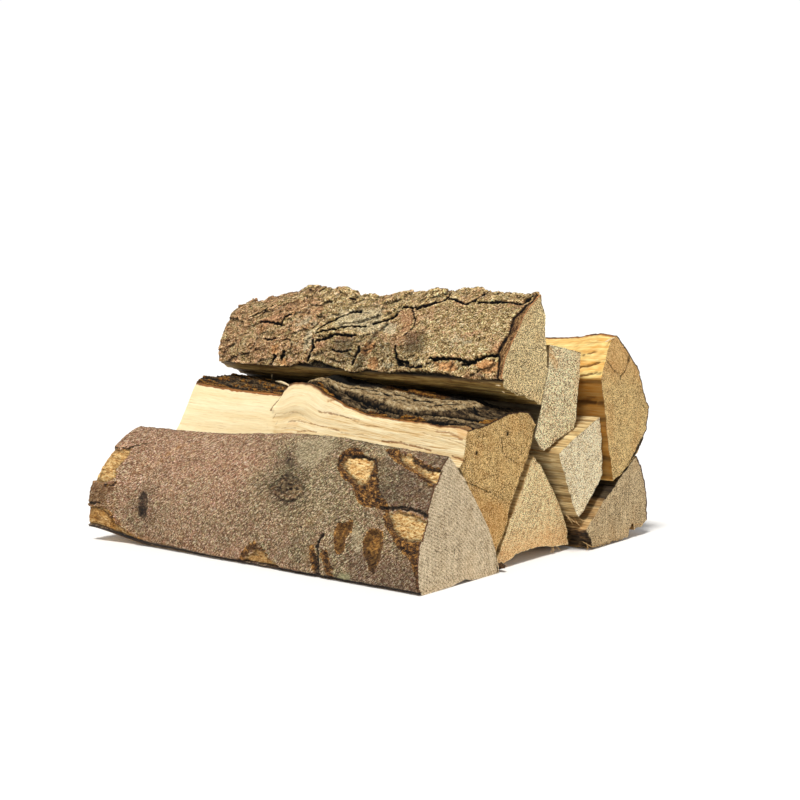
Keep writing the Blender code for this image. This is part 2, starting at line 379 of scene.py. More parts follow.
def build(name, ns, cols, carve, looks, cap_r, cap_l, gap=(1.2, 3.0), reach=3):
    """One log as one closed mesh: sides, then the right end, then the left end.
    looks are its materials, by kind of surface."""
    log = LOGS[name]
    slots = {kind: i for i, kind in enumerate(looks)}
    X, Y, Z, K, T, W, starts, s = base_grid(log, ns, cols)
    nt = len(K)
    NY, NZ = outward(Y, Z, reach)
    G = dict(log=log, X=X, W=np.broadcast_to(W, X.shape), T=np.broadcast_to(T, X.shape),
             K=np.broadcast_to(K, X.shape), S=np.broadcast_to(s[:, None], X.shape), Y=Y, Z=Z, starts=starts)
    D, masks = carve(G)
    Y, Z = Y + NY * D, Z + NZ * D
    X = X + masks.pop("dx", 0.0)
    Y = Y + masks.pop("dy", 0.0)
    Z = Z + masks.pop("dz", 0.0)
    X, Y, Z = (np.clip(v, lo, hi) for v, lo, hi in zip((X, Y, Z), *LIMITS))
    masks["cut"] = np.broadcast_to(edge_distance(log, K, W, starts), X.shape)
    # cav: how far each point lies below its softened surroundings; the materials paint shade in the hollows and
    # highlight on the crests from it
    masks["cav"] = (soften(D, 2, 3) - D) * 1.5 + (soften(D, 6, 8) - D) * 0.5

    points = [np.column_stack([X.ravel(), Y.ravel(), Z.ravel()])]
    ids = np.arange((ns + 1) * nt).reshape(ns + 1, nt)
    quad = np.stack([ids[:-1], ids[1:], np.roll(ids[1:], -1, 1), np.roll(ids[:-1], -1, 1)], -1)
    U = np.linspace(0, abs(log["x"][1] - log["x"][0]), ns + 1)
    Wx = np.append(W, starts[-1])
    u4 = np.stack([np.broadcast_to(U[:-1, None], (ns, nt)), np.broadcast_to(U[1:, None], (ns, nt)),
                   np.broadcast_to(U[1:, None], (ns, nt)), np.broadcast_to(U[:-1, None], (ns, nt))], -1)
    v4 = np.stack([np.broadcast_to(Wx[:-1], (ns, nt)), np.broadcast_to(Wx[:-1], (ns, nt)),
                   np.broadcast_to(Wx[1:], (ns, nt)), np.broadcast_to(Wx[1:], (ns, nt))], -1)
    faces = {4: [quad.reshape(-1, 4)], 3: []}
    uvs = {4: [np.stack([u4, v4], -1).reshape(-1, 4, 2)], 3: []}
    side_slot = np.array([slots[log["sides"][k][0]] for k in range(len(log["sides"]))])[K]
    mats = {4: [np.broadcast_to(side_slot, (ns, nt)).ravel()], 3: []}

    length, girth = U[-1], starts[-1]
    half = len(points[0])
    for right in (True, False):
        row = 0 if right else ns
        yz = np.column_stack([Y[row], Z[row]])
        low = yz.min(0)
        offset = np.array([length + 6, 4.0 if right else girth / 2 + 4]) - low
        base_x = log["x"][0] if right else log["x"][1]
        lean = 0.0 if right else log.get("lean", 0.0)
        relief = cap_r if right else cap_l

        def x_at(p):
            x = base_x + lean * (p[:, 1] - 45) + (1 if right else -1) * (relief(p[:, 0], p[:, 1]) - 0.3)
            return np.clip(x, LIMITS[0][0], LIMITS[1][0])
        n4, n3 = len(faces[4]), len(faces[3])
        cap(points, faces, uvs, ids[row], yz, gap[0] if right else gap[1], x_at, not right, offset)
        mats[4] += [np.full(len(f), slots["end"]) for f in faces[4][n4:]]
        mats[3] += [np.full(len(f), slots["end"]) for f in faces[3][n3:]]
    P = np.concatenate(points)
    F4, F3 = np.concatenate(faces[4]), np.concatenate(faces[3])
    UV = np.concatenate([np.concatenate(uvs[4]).reshape(-1, 2), np.concatenate(uvs[3]).reshape(-1, 2)])
    M = np.concatenate([np.concatenate(mats[4]), np.concatenate(mats[3])])

    mesh = bpy.data.meshes.new(name + "_wood")
    for look in looks.values():
        mesh.materials.append(look)
    world = (P - np.array([CENTRE[0], CENTRE[1], 0.0])) * MM
    mesh.vertices.add(len(world))
    mesh.vertices.foreach_set("co", world.astype(np.float32).ravel())
    loops = np.concatenate([F4.ravel(), F3.ravel()])
    mesh.loops.add(len(loops))
    mesh.loops.foreach_set("vertex_index", loops.astype(np.int32))
    mesh.polygons.add(len(M))
    begin = np.concatenate([np.arange(len(F4)) * 4, len(F4) * 4 + np.arange(len(F3)) * 3])
    mesh.polygons.foreach_set("loop_start", begin.astype(np.int32))
    mesh.polygons.foreach_set("material_index", M.astype(np.int32))
    mesh.update(calc_edges=True)
    mesh.validate()

    grain = mesh.uv_layers.new(name="GrainMM")
    grain.uv.foreach_set("vector", UV.astype(np.float32).ravel())
    bake = mesh.uv_layers.new(name="OFBake")
    low, high = UV.min(0), UV.max(0)
    bake.uv.foreach_set("vector", (0.006 + 0.988 * (UV - low) / (high - low)).astype(np.float32).ravel())
    mesh.uv_layers.active = bake

    # attributes: the sides' come from carve, the ends' from their own place; cav drives painted shade and highlight,
    # and the last one holds darker tone and painted shade
    rest = P[half:]
    ends = end_masks(name, log, rest, Y, Z, K)
    for key in ("cut", "tone", "dark", "rust", "bare", "rim", "light", "cav", "shadow"):
        full = np.zeros(len(P), np.float32)
        if key in masks:
            full[:half] = np.broadcast_to(masks[key], X.shape).ravel()
        if key in ends:
            full[half:] = ends[key]
        mesh.attributes.new(key, "FLOAT", "POINT").data.foreach_set("value", full)
    mesh.polygons.foreach_set("use_smooth", np.ones(len(M), bool))
    mesh.set_sharp_from_angle(angle=math.radians(50))

    obj = bpy.data.objects.new(name + "_wood", mesh)
    bpy.context.scene.collection.objects.link(obj)
    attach(obj, "root")
    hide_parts(name)
    print(name, "tris", len(F4) * 2 + len(F3))
    return obj


def end_masks(name, log, P, Y, Z, K):
    """Masks of the sawn ends, from each point's place on the end."""
    out = {}
    x, y, z = P[:, 0], P[:, 1], P[:, 2]
    mid = (log["x"][0] + log["x"][1]) / 2
    cut = np.full(len(P), 99.0)
    for row, chosen in ((0, x > mid), (-1, x <= mid)):
        bark = np.array([log["sides"][k][0] == "bark" for k in K])
        if not bark.any():
            continue
        py, pz = Y[row][bark][::2], Z[row][bark][::2]
        d = np.full(chosen.sum(), 99.0)
        for a, b in zip(py, pz):
            d = np.minimum(d, np.hypot(y[chosen] - a, z[chosen] - b))
        cut[chosen] = d
    out["cut"] = cut
    for mask, value in END_MARKS.get(name, lambda *_: {})(x, y, z, x > mid).items():
        out[mask] = value
    return out


# ---------------------------------------------------- how each side is shaped
def split_relief(X, W, seed, waves=0.8, fibre=0.32, steps=0.45):
    """A face split along the grain: long waves, fibres and small ledges."""
    a = waves * fbm(X / 120, W / 17, 3, 0.5, seed)
    b = fibre * fbm(X / 55, W / 2.4, 3, 0.6, seed + 40)
    h = (fbm(X / 95, W / 8, 3, 0.5, seed + 80) + 1) * 3.0
    c = steps * (np.floor(h) + step(0.38, 0.62, h - np.floor(h)) - 3.0)
    return a + b + c


def saw_relief(seed, angle, amount=0.12):
    ca, sa = math.cos(math.radians(angle)), math.sin(math.radians(angle))

    def at(y, z):
        q = y * ca + z * sa
        return amount * fbm(q / 2.2, (z * ca - y * sa) / 30, 2, 0.5, seed) + 0.12 * fbm(y / 14, z / 14, 3, 0.5, seed + 9)
    return at


def carve_front(G):
    X, W, T, K, S, st = G["X"], G["W"], G["T"], G["K"], G["S"], G["starts"]
    w = (W - st[2]) * 106.0 / (st[3] - st[2])          # mm down the bark from its top edge
    bark = K == 2
    wx = X + 1.8 * fbm(X / 4.5, w / 4.5, 3, 0.6, 3)      # torn edges wander a little
    ww = w + 1.8 * fbm(X / 4.5 + 31, w / 4.5, 3, 0.6, 4)

    fray = 1.0 + 0.75 * fbm(X / 3.2 + 5, w / 3.2, 2, 0.6, 7)
    gaps = step(-0.75, -0.1, fbm(X / 2.6, w / 2.2 + 8, 2, 0.6, 8))

    def stroke(points, width):
        d, _ = line(wx, ww, points)
        width = width * np.maximum(fray, 0.15)
        return (1 - step(width * 0.4, width * 1.4, d)) * (0.35 + 0.65 * gaps)

    bare = np.full(X.shape, -99.0)
    patches = (
        [(-87, 21), (-85, 15), (-77, 12), (-62, 12), (-56, 18), (-57, 26), (-58, 34), (-65, 35), (-77, 28)],
        [(-41, 5), (-33, 3.5), (-27, 6.5), (-22, 10.5), (-12, 12.5), (-3, 12.5), (4, 13), (4, 25), (-6, 22.5), (-11, 19.5), (-22, 14.5), (-31, 12.5), (-38, 10)],
        [(-33, 50), (-23, 47.5), (-1, 50), (4, 50), (4, 67), (-2, 67.5), (-11, 69.5), (-17, 67.5), (-25, 63.5), (-30, 58)],
        [(-168, 105), (-162, 99), (-156, 96), (-153, 92.5), (-150, 94), (-146, 92.5), (-142, 96), (-138, 100), (-130, 103), (-128, 112), (-168, 112)],
        [(-345, 31), (-321, 31), (-309, 27.5), (-307, 34), (-310, 45), (-312, 50), (-309, 58), (-316, 65), (-324, 67), (-345, 66)],
        [(-345, 88), (-333, 89), (-313, 86), (-310, 92), (-302, 97), (-283, 101), (-262, 105), (-262, 112), (-345, 112)],
    )
    deep = np.zeros(X.shape)
    for i, p in enumerate(patches):
        d = region(wx, ww, p)
        bare = np.maximum(bare, d)
        deep = np.maximum(deep, (2.2 if i < 4 else 2.6) * step(-0.7, 0.9, d))
    # crumbly rims round the patches, and the tail below the first one
    rim = step(-1.2, 1.0, region(wx, ww, [(-91, 17), (-90, 12), (-86, 8), (-82, 6.5), (-74, 8), (-69, 12), (-60, 11.5), (-54, 15), (-51, 24), (-46, 32),
                                          (-42, 40), (-35, 44), (-33, 50), (-41, 49), (-47, 49), (-57, 49.5), (-63, 44), (-70, 35), (-81, 31), (-88, 25)]))
    rim = np.maximum(rim, step(-1.2, 1.0, region(wx, ww, [(-34, 49), (-29, 58), (-25, 63), (-17, 67), (-11, 69), (-2, 67), (4, 66), (4, 106), (-1, 104), (-3, 93), (-5, 86),
                                                          (-8, 81), (-13, 78), (-20, 73), (-26, 66), (-33, 60), (-37, 52)])))
    rim = np.maximum(rim, step(-1.0, 1.0, region(wx, ww, [(-54, 4), (-47, 1), (-41, 4), (-37, 9), (-30, 12.5), (-21, 15.5), (-11, 19.5), (-2, 24), (4, 24), (4, 27), (-3, 27), (-11, 22),
                                                          (-22, 17), (-31, 15), (-39, 12), (-46, 9)])))
    for p, width in (
        ([(-29, 6), (-20, 9.5), (-11, 11.5), (0, 11.5)], 1.5), ([(-170, 104), (-163, 97), (-157, 93), (-152, 90)], 2.4), ([(-151, 93), (-145, 91.5), (-140, 96)], 1.4),
        ([(-326, 47), (-319, 48), (-314, 48)], 1.3), ([(-327, 57), (-320, 56), (-314, 58)], 1.6), ([(-307, 62), (-311, 67), (-317, 68)], 1.3),
        ([(-95, 86), (-93, 100)], 2.5), ([(-84, 88), (-80, 96), (-80, 106)], 3.6), ([(-310, 88), (-304, 96), (-290, 100), (-272, 104)], 1.6),
    ):
        rim = np.maximum(rim, stroke(p, width))
    slots = (
        [(-74, 70), (-72, 65), (-66, 65), (-62, 61), (-60, 65), (-61, 69), (-65, 74), (-66, 84), (-71, 86), (-73, 79)],
        [(-46, 70), (-44, 65), (-39, 65), (-33, 66), (-32, 76), (-33, 83), (-37, 92), (-39, 96), (-42, 90), (-46, 83), (-47.5, 76)],
    )
    slot = np.full(X.shape, -99.0)
    for p in slots:
        slot = np.maximum(slot, region(wx, ww, p))
    scar = np.maximum(stroke([(-91, 108), (-90, 92), (-91, 84), (-89, 79), (-86, 75)], 1.3), 0.7 * stroke([(-93, 106), (-92, 98), (-94, 90)], 1.6))
    # the eye-shaped knot, its dark spot above, and the older knot to the left
    kx, kw = X + 0.9 * fbm(X / 3, w / 3, 2, 0.5, 5), w + 0.9 * fbm(X / 3 + 7, w / 3, 2, 0.5, 6)
    knot = region(kx, kw, [(-146, 47.5), (-139, 41), (-135, 36), (-128, 37), (-121, 37), (-113, 43), (-111, 47.5), (-117, 53), (-123, 55), (-129, 55), (-135, 52.5), (-143, 50)])
    torn = 0.15 + 0.85 * step(-0.35, 0.15, fbm(X / 2.8 + 4, w / 2.2, 3, 0.65, 611))
    rings = np.sin(knot * 1.5 + 2.6 * fbm(X / 6, w / 2.6, 3, 0.6, 61) + 0.25 * (w - 46))
    arcs, lights = 0.55 * step(0.1, 0.8, rings) * step(-0.6, 1.0, knot), 0.6 * step(-0.2, -0.9, rings) * step(0.0, 1.5, knot)
    for p, width in (([(-145, 47), (-138, 43), (-137, 38), (-133, 36), (-129, 38.5), (-127, 40), (-124, 37), (-120, 38), (-117, 41), (-112, 44)], 1.3),
                     ([(-131, 54), (-125, 55), (-120, 54), (-116, 50.5), (-112, 46)], 1.5), ([(-144, 48), (-139, 48.5), (-134, 48), (-134, 43)], 0.8),
                     ([(-128, 47.5), (-123, 45.5), (-118, 44)], 0.7), ([(-131, 41), (-126, 43), (-121, 42)], 0.7)):
        wide = width * np.maximum(fray, 0.15)
        arcs = np.maximum(arcs, (1 - step(wide * 0.35, wide * 1.5, line(kx, kw, p)[0])) * (0.4 + 0.6 * gaps))
    arcs = arcs * torn * 0.62
    for p in ([(-131, 51), (-124, 51.5), (-117, 47.5), (-112, 46)], [(-140, 50), (-134, 50.5)], [(-133, 45.5), (-127, 45), (-121, 44)], [(-118, 39.5), (-113, 42.5)]):
        lights = np.maximum(lights, 1 - step(0.4, 1.2, line(kx, kw, p)[0]))
    spot = region(wx, ww, [(-142, 23), (-140, 17), (-135, 18), (-131, 23), (-126, 29), (-131, 31), (-138, 28)])
    old = region(wx, ww, [(-283, 66), (-279, 60), (-272, 62), (-269, 67), (-269, 83), (-274, 86), (-281, 84), (-283, 76)])
    near_knot = np.exp(-((X + 128) / 24) ** 2 - ((w - 44) / 15) ** 2)
    near_old = np.exp(-((X + 275) / 15) ** 2 - ((w - 72) / 20) ** 2)

    # fine wrinkles run down to the left; low swells and pits cover the rest
    a, b = X * 0.79 - w * 0.61, w * 0.79 + X * 0.61
    body = (0.9 * fbm(X / 45, w / 34, 3, 0.5, 11) + 0.34 * fbm(X / 9, w / 8, 3, 0.55, 12)
            + 0.26 * fbm(a / 9 + 3, b / 2.4, 2, 0.55, 13) * (0.6 + 0.4 * step(-0.3, 0.3, fbm(X / 24, w / 20, 2, 0.5, 131)))
            + 0.12 * noise(X / 1.5, w / 1.5, 14))
    calm = step(-2.0, 0.0, -bare)
    D = body * (0.35 + 0.65 * calm)
    crumbs = rim * (1 - step(0.2, 1.2, bare))
    D = D + crumbs * (1.9 * (ridged(X / 4.0, w / 3.4, 3, 0.62, 15) - 0.52) + 0.9 * fbm(X / 1.9, w / 1.7, 2, 0.6, 151))
    flaky = plates(X / 11, w / 4.2, 16, 4, 0.3, 0.2)[0]
    D = D - deep + step(0, 1.2, bare) * (1.3 * (flaky - 0.5) + 0.25 * fbm(X / 7, w / 1.8, 3, 0.6, 161))
    D = D + 0.5 * (1 - step(1.0, 3.2, np.abs(slot + 1.2))) - 2.0 * step(-0.3, 2.2, slot) + step(0.5, 2, slot) * 0.9 * fbm(X / 2.6, w / 4.5, 3, 0.6, 171)
    D = D - 1.6 * scar
    for p, width, k in (([(-89, 22), (-88.5, 16), (-84, 13), (-76, 12.5), (-70, 12), (-63, 12), (-59, 13)], 1.3, 1.6),
                        ([(-40, 47), (-34, 48), (-32, 47), (-24, 45), (-17, 45), (-9, 45.5), (-1, 47.5), (4, 48)], 1.9, 1.8),
                        ([(-28, 7), (-20, 10), (-11, 12), (3, 12.5)], 1.0, 1.2), ([(-330, 30.5), (-314, 29), (-309, 25.5), (-304, 23)], 0.9, 1.2),
                        ([(-340, 86), (-327, 86), (-321, 84)], 1.0, 1.2)):
        D = D - k * stroke(p, width)
    D = D + 1.5 * near_knot * step(3, -4, knot) + 1.3 * step(-0.5, 2.0, knot) - 1.8 * arcs + 0.6 * lights - 0.5 * step(0, 3, spot)
    D = D + near_knot * 0.5 * (ridged(X / 15 + w / 20, w / 4.5 - X / 13, 2, 0.5, 61) - 0.55)
    D = D + near_old * 1.0 - 1.5 * step(0, 5, old) + 0.9 * step(0, 3, old) * fbm(X / 4, w / 3, 3, 0.6, 18)
    # the bark's own thickness along the torn top edge, and the ragged low edge turning under
    D = D - 0.5 * np.exp(-(w / 1.6) ** 2) * (1 + 1.6 * fbm(X / 7, X * 0 + 3, 4, 0.7, 18))
    under = 2.3 + 3.0 * bump(X, -272, 80) + 0.9 * fbm(X / 9, X * 0 + 3, 3, 0.6, 182)
    split = split_relief(X, W, 21, 0.7, 0.3, 0.3)
    D = np.where(bark, D, split * step(0, 5, np.minimum(W - st[0], st[2] - W)))
    D = np.where(K == 0, np.minimum(D, 0.25), D)
    turn_in = np.where(bark, 106 - w, np.where(K == 0, (W - st[0]) * 1.3, 99))
    D = D - np.maximum(under, 0.1) * np.exp(-(turn_in / 2.6) ** 2)
    D = np.where(K == 0, D - 2.0 * step(-34, -6, X) * bump((W - st[0]) / (st[1] - st[0]), 0.52, 0.20), D)

    grey = np.clip(np.exp(-((X + 105) / 60) ** 2 - ((w - 28) / 46) ** 2) * 1.15 + 0.35 * step(-140, -60, X) + 0.40 * step(36, 88, w)
                   - 0.35 * step(-140, -165, X) * np.exp(-((w - 24 - 0.06 * (X + 220)) / 13) ** 2) + 0.46 * fbm(X / 35, w / 28, 3, 0.5, 19) + 0.06, 0, 1)
    dark = np.zeros(X.shape)
    dark = np.maximum(dark, step(-1.0, 1.5, knot) * (0.42 + 0.55 * step(-0.1, 0.4, fbm(X / 4.5, w / 2.6, 3, 0.65, 612))))
    dark = np.maximum(dark, 0.85 * arcs)
    dark = np.where(lights > 0, dark * (1 - 0.85 * lights), dark)
    dark = np.maximum(dark, 0.85 * step(-1.5, 3.0, spot) * step(-0.5, 0.2, fbm(X / 4, w / 4, 3, 0.6, 20)))
    old_dark = 0.62 + 0.38 * np.maximum(np.exp(-((X + 276) / 5) ** 2 - ((w - 78) / 4.5) ** 2), 0.8 * np.exp(-((X + 276) / 4) ** 2 - ((w - 63) / 3) ** 2))
    dark = np.maximum(dark, old_dark * step(-2.5, 3, old) * (0.75 + 0.25 * step(-0.4, 0.3, fbm(X / 4, w / 5, 3, 0.6, 22))))
    for p, width, k in (([(-139, 18), (-137, 13)], 1.2, 0.5), ([(-134, 27), (-131, 32), (-130, 38)], 2.4, 0.55), ([(-113, 50), (-119, 55), (-127, 56.5)], 1.8, 0.7), ([(-156, 34), (-149, 32), (-144, 30.5), (-138, 32)], 1.6, 0.4),
                        ([(-111, 34), (-108, 41), (-105, 54)], 0.7, 0.42), ([(-105, 59), (-107, 66)], 0.7, 0.5), ([(-107, 72), (-106.8, 72.4)], 0.9, 0.9),
                        ([(-40, 47), (-34, 48), (-32, 47), (-24, 45), (-17, 45), (-9, 45.5), (-1, 47.5), (4, 48)], 1.7, 1.0),
                        ([(-89.5, 22), (-88.5, 16), (-84, 13), (-76, 12.5), (-70, 12), (-63, 12), (-58, 13), (-55, 16)], 1.2, 0.95),
                        ([(-28, 7), (-20, 10), (-11, 12), (3, 12.5)], 1.1, 0.85), ([(-330, 30.5), (-314, 29), (-309, 25.5), (-304, 23), (-298, 21)], 0.8, 0.9),
                        ([(-340, 86), (-327, 86), (-321, 84)], 1.1, 0.8), ([(-35, 50), (-31, 58), (-27, 63)], 0.9, 0.7), ([(-55, 20), (-57, 28), (-58, 36), (-52, 42)], 1.0, 0.6),
                        ([(-79, 29), (-70, 33), (-64, 40)], 0.9, 0.6), ([(-163, 99), (-157, 95), (-153, 91)], 0.9, 0.6), ([(-284, 93), (-282, 94)], 2.0, 0.4),
                        ([(-298, 70), (-299, 73)], 1.5, 0.35), ([(-297, 81), (-298, 83)], 1.8, 0.35), ([(-64, 66), (-66, 72), (-66, 80)], 0.8, 0.6),
                        ([(-46, 71), (-46.5, 82), (-41, 91)], 0.8, 0.6), ([(-33, 68), (-32.5, 80), (-37, 91)], 0.7, 0.5), ([(-84, 88), (-80, 96), (-80, 106)], 2.6, 0.5)):
        dark = np.maximum(dark, k * stroke(p, width))
    dark = np.maximum(dark, scar * 0.95)
    flap = step(-1.5, 1.5, region(wx, ww, [(-345, 67), (-330, 67), (-315, 65), (-306, 68), (-314, 76), (-311, 85), (-322, 87), (-345, 87)]))
    # warm stains, also over the older bared wood at the far end
    rust = np.zeros(X.shape)
    for p, width, k in (([(-276, 38), (-268, 28), (-264, 22), (-257, 17), (-248, 15)], 3.2, 0.55), ([(-269, 27), (-265, 23), (-260, 18)], 2.0, 1.1),
                        ([(-101, 70), (-94, 63), (-89, 59)], 3.5, 0.35), ([(-96, 88), (-96, 104)], 5.0, 0.75), ([(-22, 39), (-12, 35), (-7, 38)], 3.0, 0.5),
                        ([(-232, 96), (-215, 103), (-180, 105)], 5.0, 0.5), ([(-310, 90), (-296, 99), (-270, 103), (-240, 105)], 6.0, 0.8), ([(-294, 47), (-287, 38)], 5.0, 0.3),
                        ([(-170, 105), (-160, 96), (-152, 89)], 4.0, 0.55), ([(-60, 10), (-50, 14), (-47, 26)], 2.5, 0.4), ([(-125, 104), (-105, 106)], 4.0, 0.5),
                        ([(-282, 47), (-280, 42)], 5.0, 0.3), ([(-312, 66), (-306, 76), (-308, 88)], 4.0, 0.5)):
        d, _ = line(wx, ww, p)
        rust = np.maximum(rust, k * (1 - step(0, width * 1.3, d)) * step(-0.6, 0.4, fbm(X / 5, w / 5, 2, 0.5, 23)))
    rust = np.maximum(rust, step(-0.6, 0.3, slot) * 1.4)
    rust = np.maximum(rust, 0.40 * step(-1.0, 2.0, knot) * step(-0.5, 0.1, fbm(X / 3, w / 2.2, 2, 0.6, 233)))
    bare = np.maximum(bare, np.where(slot > -1, slot - 0.2, -99))
    rust = np.maximum(rust, flap * 0.7)
    rust = np.maximum(rust, 0.8 * step(-300, -306, X) * step(-0.5, 0.5, bare) * step(-0.6, 0.5, fbm(X / 6, w / 5, 3, 0.6, 232)) + 0.5 * step(-250, -262, X) * step(80, 90, w) * step(-0.5, 0.5, bare))
    rust = np.maximum(rust, 0.7 * step(-120, -128, X) * step(-180, -170, X) * step(-0.5, 0.5, bare) * step(80, 90, w))
    rim = np.maximum(rim, (1 - step(0.3, 1.7, np.abs(slot + 0.2))) * 0.9)
    # lichen above zero, frosty rubbed places below
    light = step(-0.8, 0.8, region(wx, ww, [(-73, 103), (-68, 99), (-61, 99), (-61, 104), (-66, 105), (-72, 105)]))
    frost = np.maximum(0.9 * step(-5, 3, region(wx, ww, [(-139, 6), (-111, 0), (-98, 8), (-104, 20), (-112, 28), (-124, 28)])),
                       0.9 * step(-4, 3, region(wx, ww, [(-60, 66), (-51, 66), (-49, 83), (-55, 85), (-58, 76)])))
    frost = np.maximum(frost, 0.6 * step(-4, 3, region(wx, ww, [(-72, 4), (-56, 0), (-44, 10), (-50, 12), (-62, 8)])))
    frost = np.maximum(frost, 0.4 * step(-8, 6, region(wx, ww, [(-100, 8), (-92, 30), (-78, 60), (-86, 76), (-104, 60), (-108, 30)])))
    frost = np.maximum(frost, 0.8 * np.maximum(stroke([(-280, 90), (-275, 85)], 1.2), stroke([(-281, 65), (-276, 60), (-270, 64)], 0.6)))
    light = np.where(light > 0.02, light, -frost)
    island = step(-2.5, 1.5, region(wx, ww, [(-56, 14), (-46, 10), (-39, 12), (-30, 15), (-22, 18), (-10, 22), (6, 27), (6, 46), (-18, 44), (-34, 44), (-45, 39), (-52, 27)]))
    flake = step(-1, 1, region(wx, ww, [(-28, 5), (-26, 1), (-19, -3), (6, -3), (6, 11), (-8, 11), (-15, 9), (-22, 7)]))
    lower = step(-5, 6, region(wx, ww, [(-66, 84), (-40, 78), (-14, 84), (6, 88), (6, 112), (-60, 112)]))
    # this mask darkens: the bark's own darker tone over the purple island, the low patch, the flake, round the knots,
    # the flap and the slots, a little more towards the bottom;
    shadow = np.maximum(0.50 * island * (1 - 0.4 * step(0, 3, region(wx, ww, [(-56, 14), (-30, 14), (-30, 30), (-50, 34)]))), 0.39 * lower)
    shadow = np.maximum(shadow, 0.42 * flake)
    shadow = np.maximum(shadow, 0.50 * np.exp(-((X + 131) / 17) ** 2 - ((w - 46) / 14) ** 2) + 0.24 * np.exp(-((X + 136) / 16) ** 2 - ((w - 24) / 12) ** 2))
    shadow = np.maximum(shadow, 0.62 * step(-1, 3, old) * (0.6 + 0.4 * step(-0.2, 0.3, fbm(X / 4, w / 5, 3, 0.6, 221))))
    shadow = np.maximum(shadow, 0.28 * near_old + 0.05 * step(60, 106, w))
    # painted shade along the low edge, where the bark turns under towards the floor
    shadow = np.maximum(shadow, 0.96 * np.exp(-((106 - w) / (2.4 + 2.4 * bump(X, -276, 90) + 0.8 * fbm(X / 7, X * 0, 2, 0.6, 183))) ** 4))
    shadow = np.maximum(shadow, 0.38 * flap + 0.15 * step(-1, 1, slot))
    shadow = np.maximum(shadow, 0.16 * step(-1, 2, region(wx, ww, patches[2])))
    dx = np.where(bark & (S < 1e-6), -0.9 * (0.5 + 0.5 * noise(w / 2.2, w * 0 + 5, 24)) - 0.6 * step(-0.4, 0.4, noise(w / 7, w * 0 + 9, 25)), 0.0)
    dx = np.where(bark & (S > 0.999), 1.6 * (0.5 + 0.5 * noise(w / 3, w * 0 + 5, 26)) + 3.0 * step(0, 5, region(X, w, patches[4])), dx)
    masks = dict(tone=np.where(bark, grey * (1 - 0.55 * lower), 0.4), bare=np.where(bark, bare, -99), rim=np.where(bark, rim, 0), dark=np.where(bark, dark, 0),
                 rust=np.where(bark, rust, 0), light=np.where(bark, light, 0), dx=dx, shadow=np.where(bark, shadow, 0))
    return D, masks


def pen(X, w, wander, seed, scale=4.5):
    """Wandering coordinates, and a brush for lines of uneven width with gaps."""
    wx = X + wander * fbm(X / scale, w / scale, 3, 0.6, seed)
    ww = w + wander * fbm(X / scale + 31, w / scale, 3, 0.6, seed + 1)
    fray = np.maximum(1.0 + 0.75 * fbm(X / 3.2 + 5, w / 3.2, 2, 0.6, seed + 2), 0.15)
    gaps = step(-0.75, -0.1, fbm(X / 2.6, w / 2.2 + 8, 2, 0.6, seed + 3))

    def stroke(points, width):
        d, _ = line(wx, ww, points)
        return (1 - step(width * 0.4 * fray, width * 1.4 * fray, d)) * (0.35 + 0.65 * gaps)
    return wx, ww, stroke


def shingles(a, b, seed, lift=0.8):
    """Flat flakes lying on each other with their lower edges lifted: height about
    -0.5 to 0.8, a mask for painted shade under each lifted edge, and a random value per flake."""
    f1, f2, cid, dx1, dy1 = cells(a, b, seed, 0.95)
    edge = f2 - f1
    h = (cid - 0.5) + lift * np.clip(-dy1, -0.6, 0.6) * step(0.0, 0.12, edge)
    return h, (1 - step(0.03, 0.20, edge)) * step(-0.05, 0.25, dy1), rnd((cid * 4096).astype(np.int64), (cid * 977).astype(np.int64), seed)


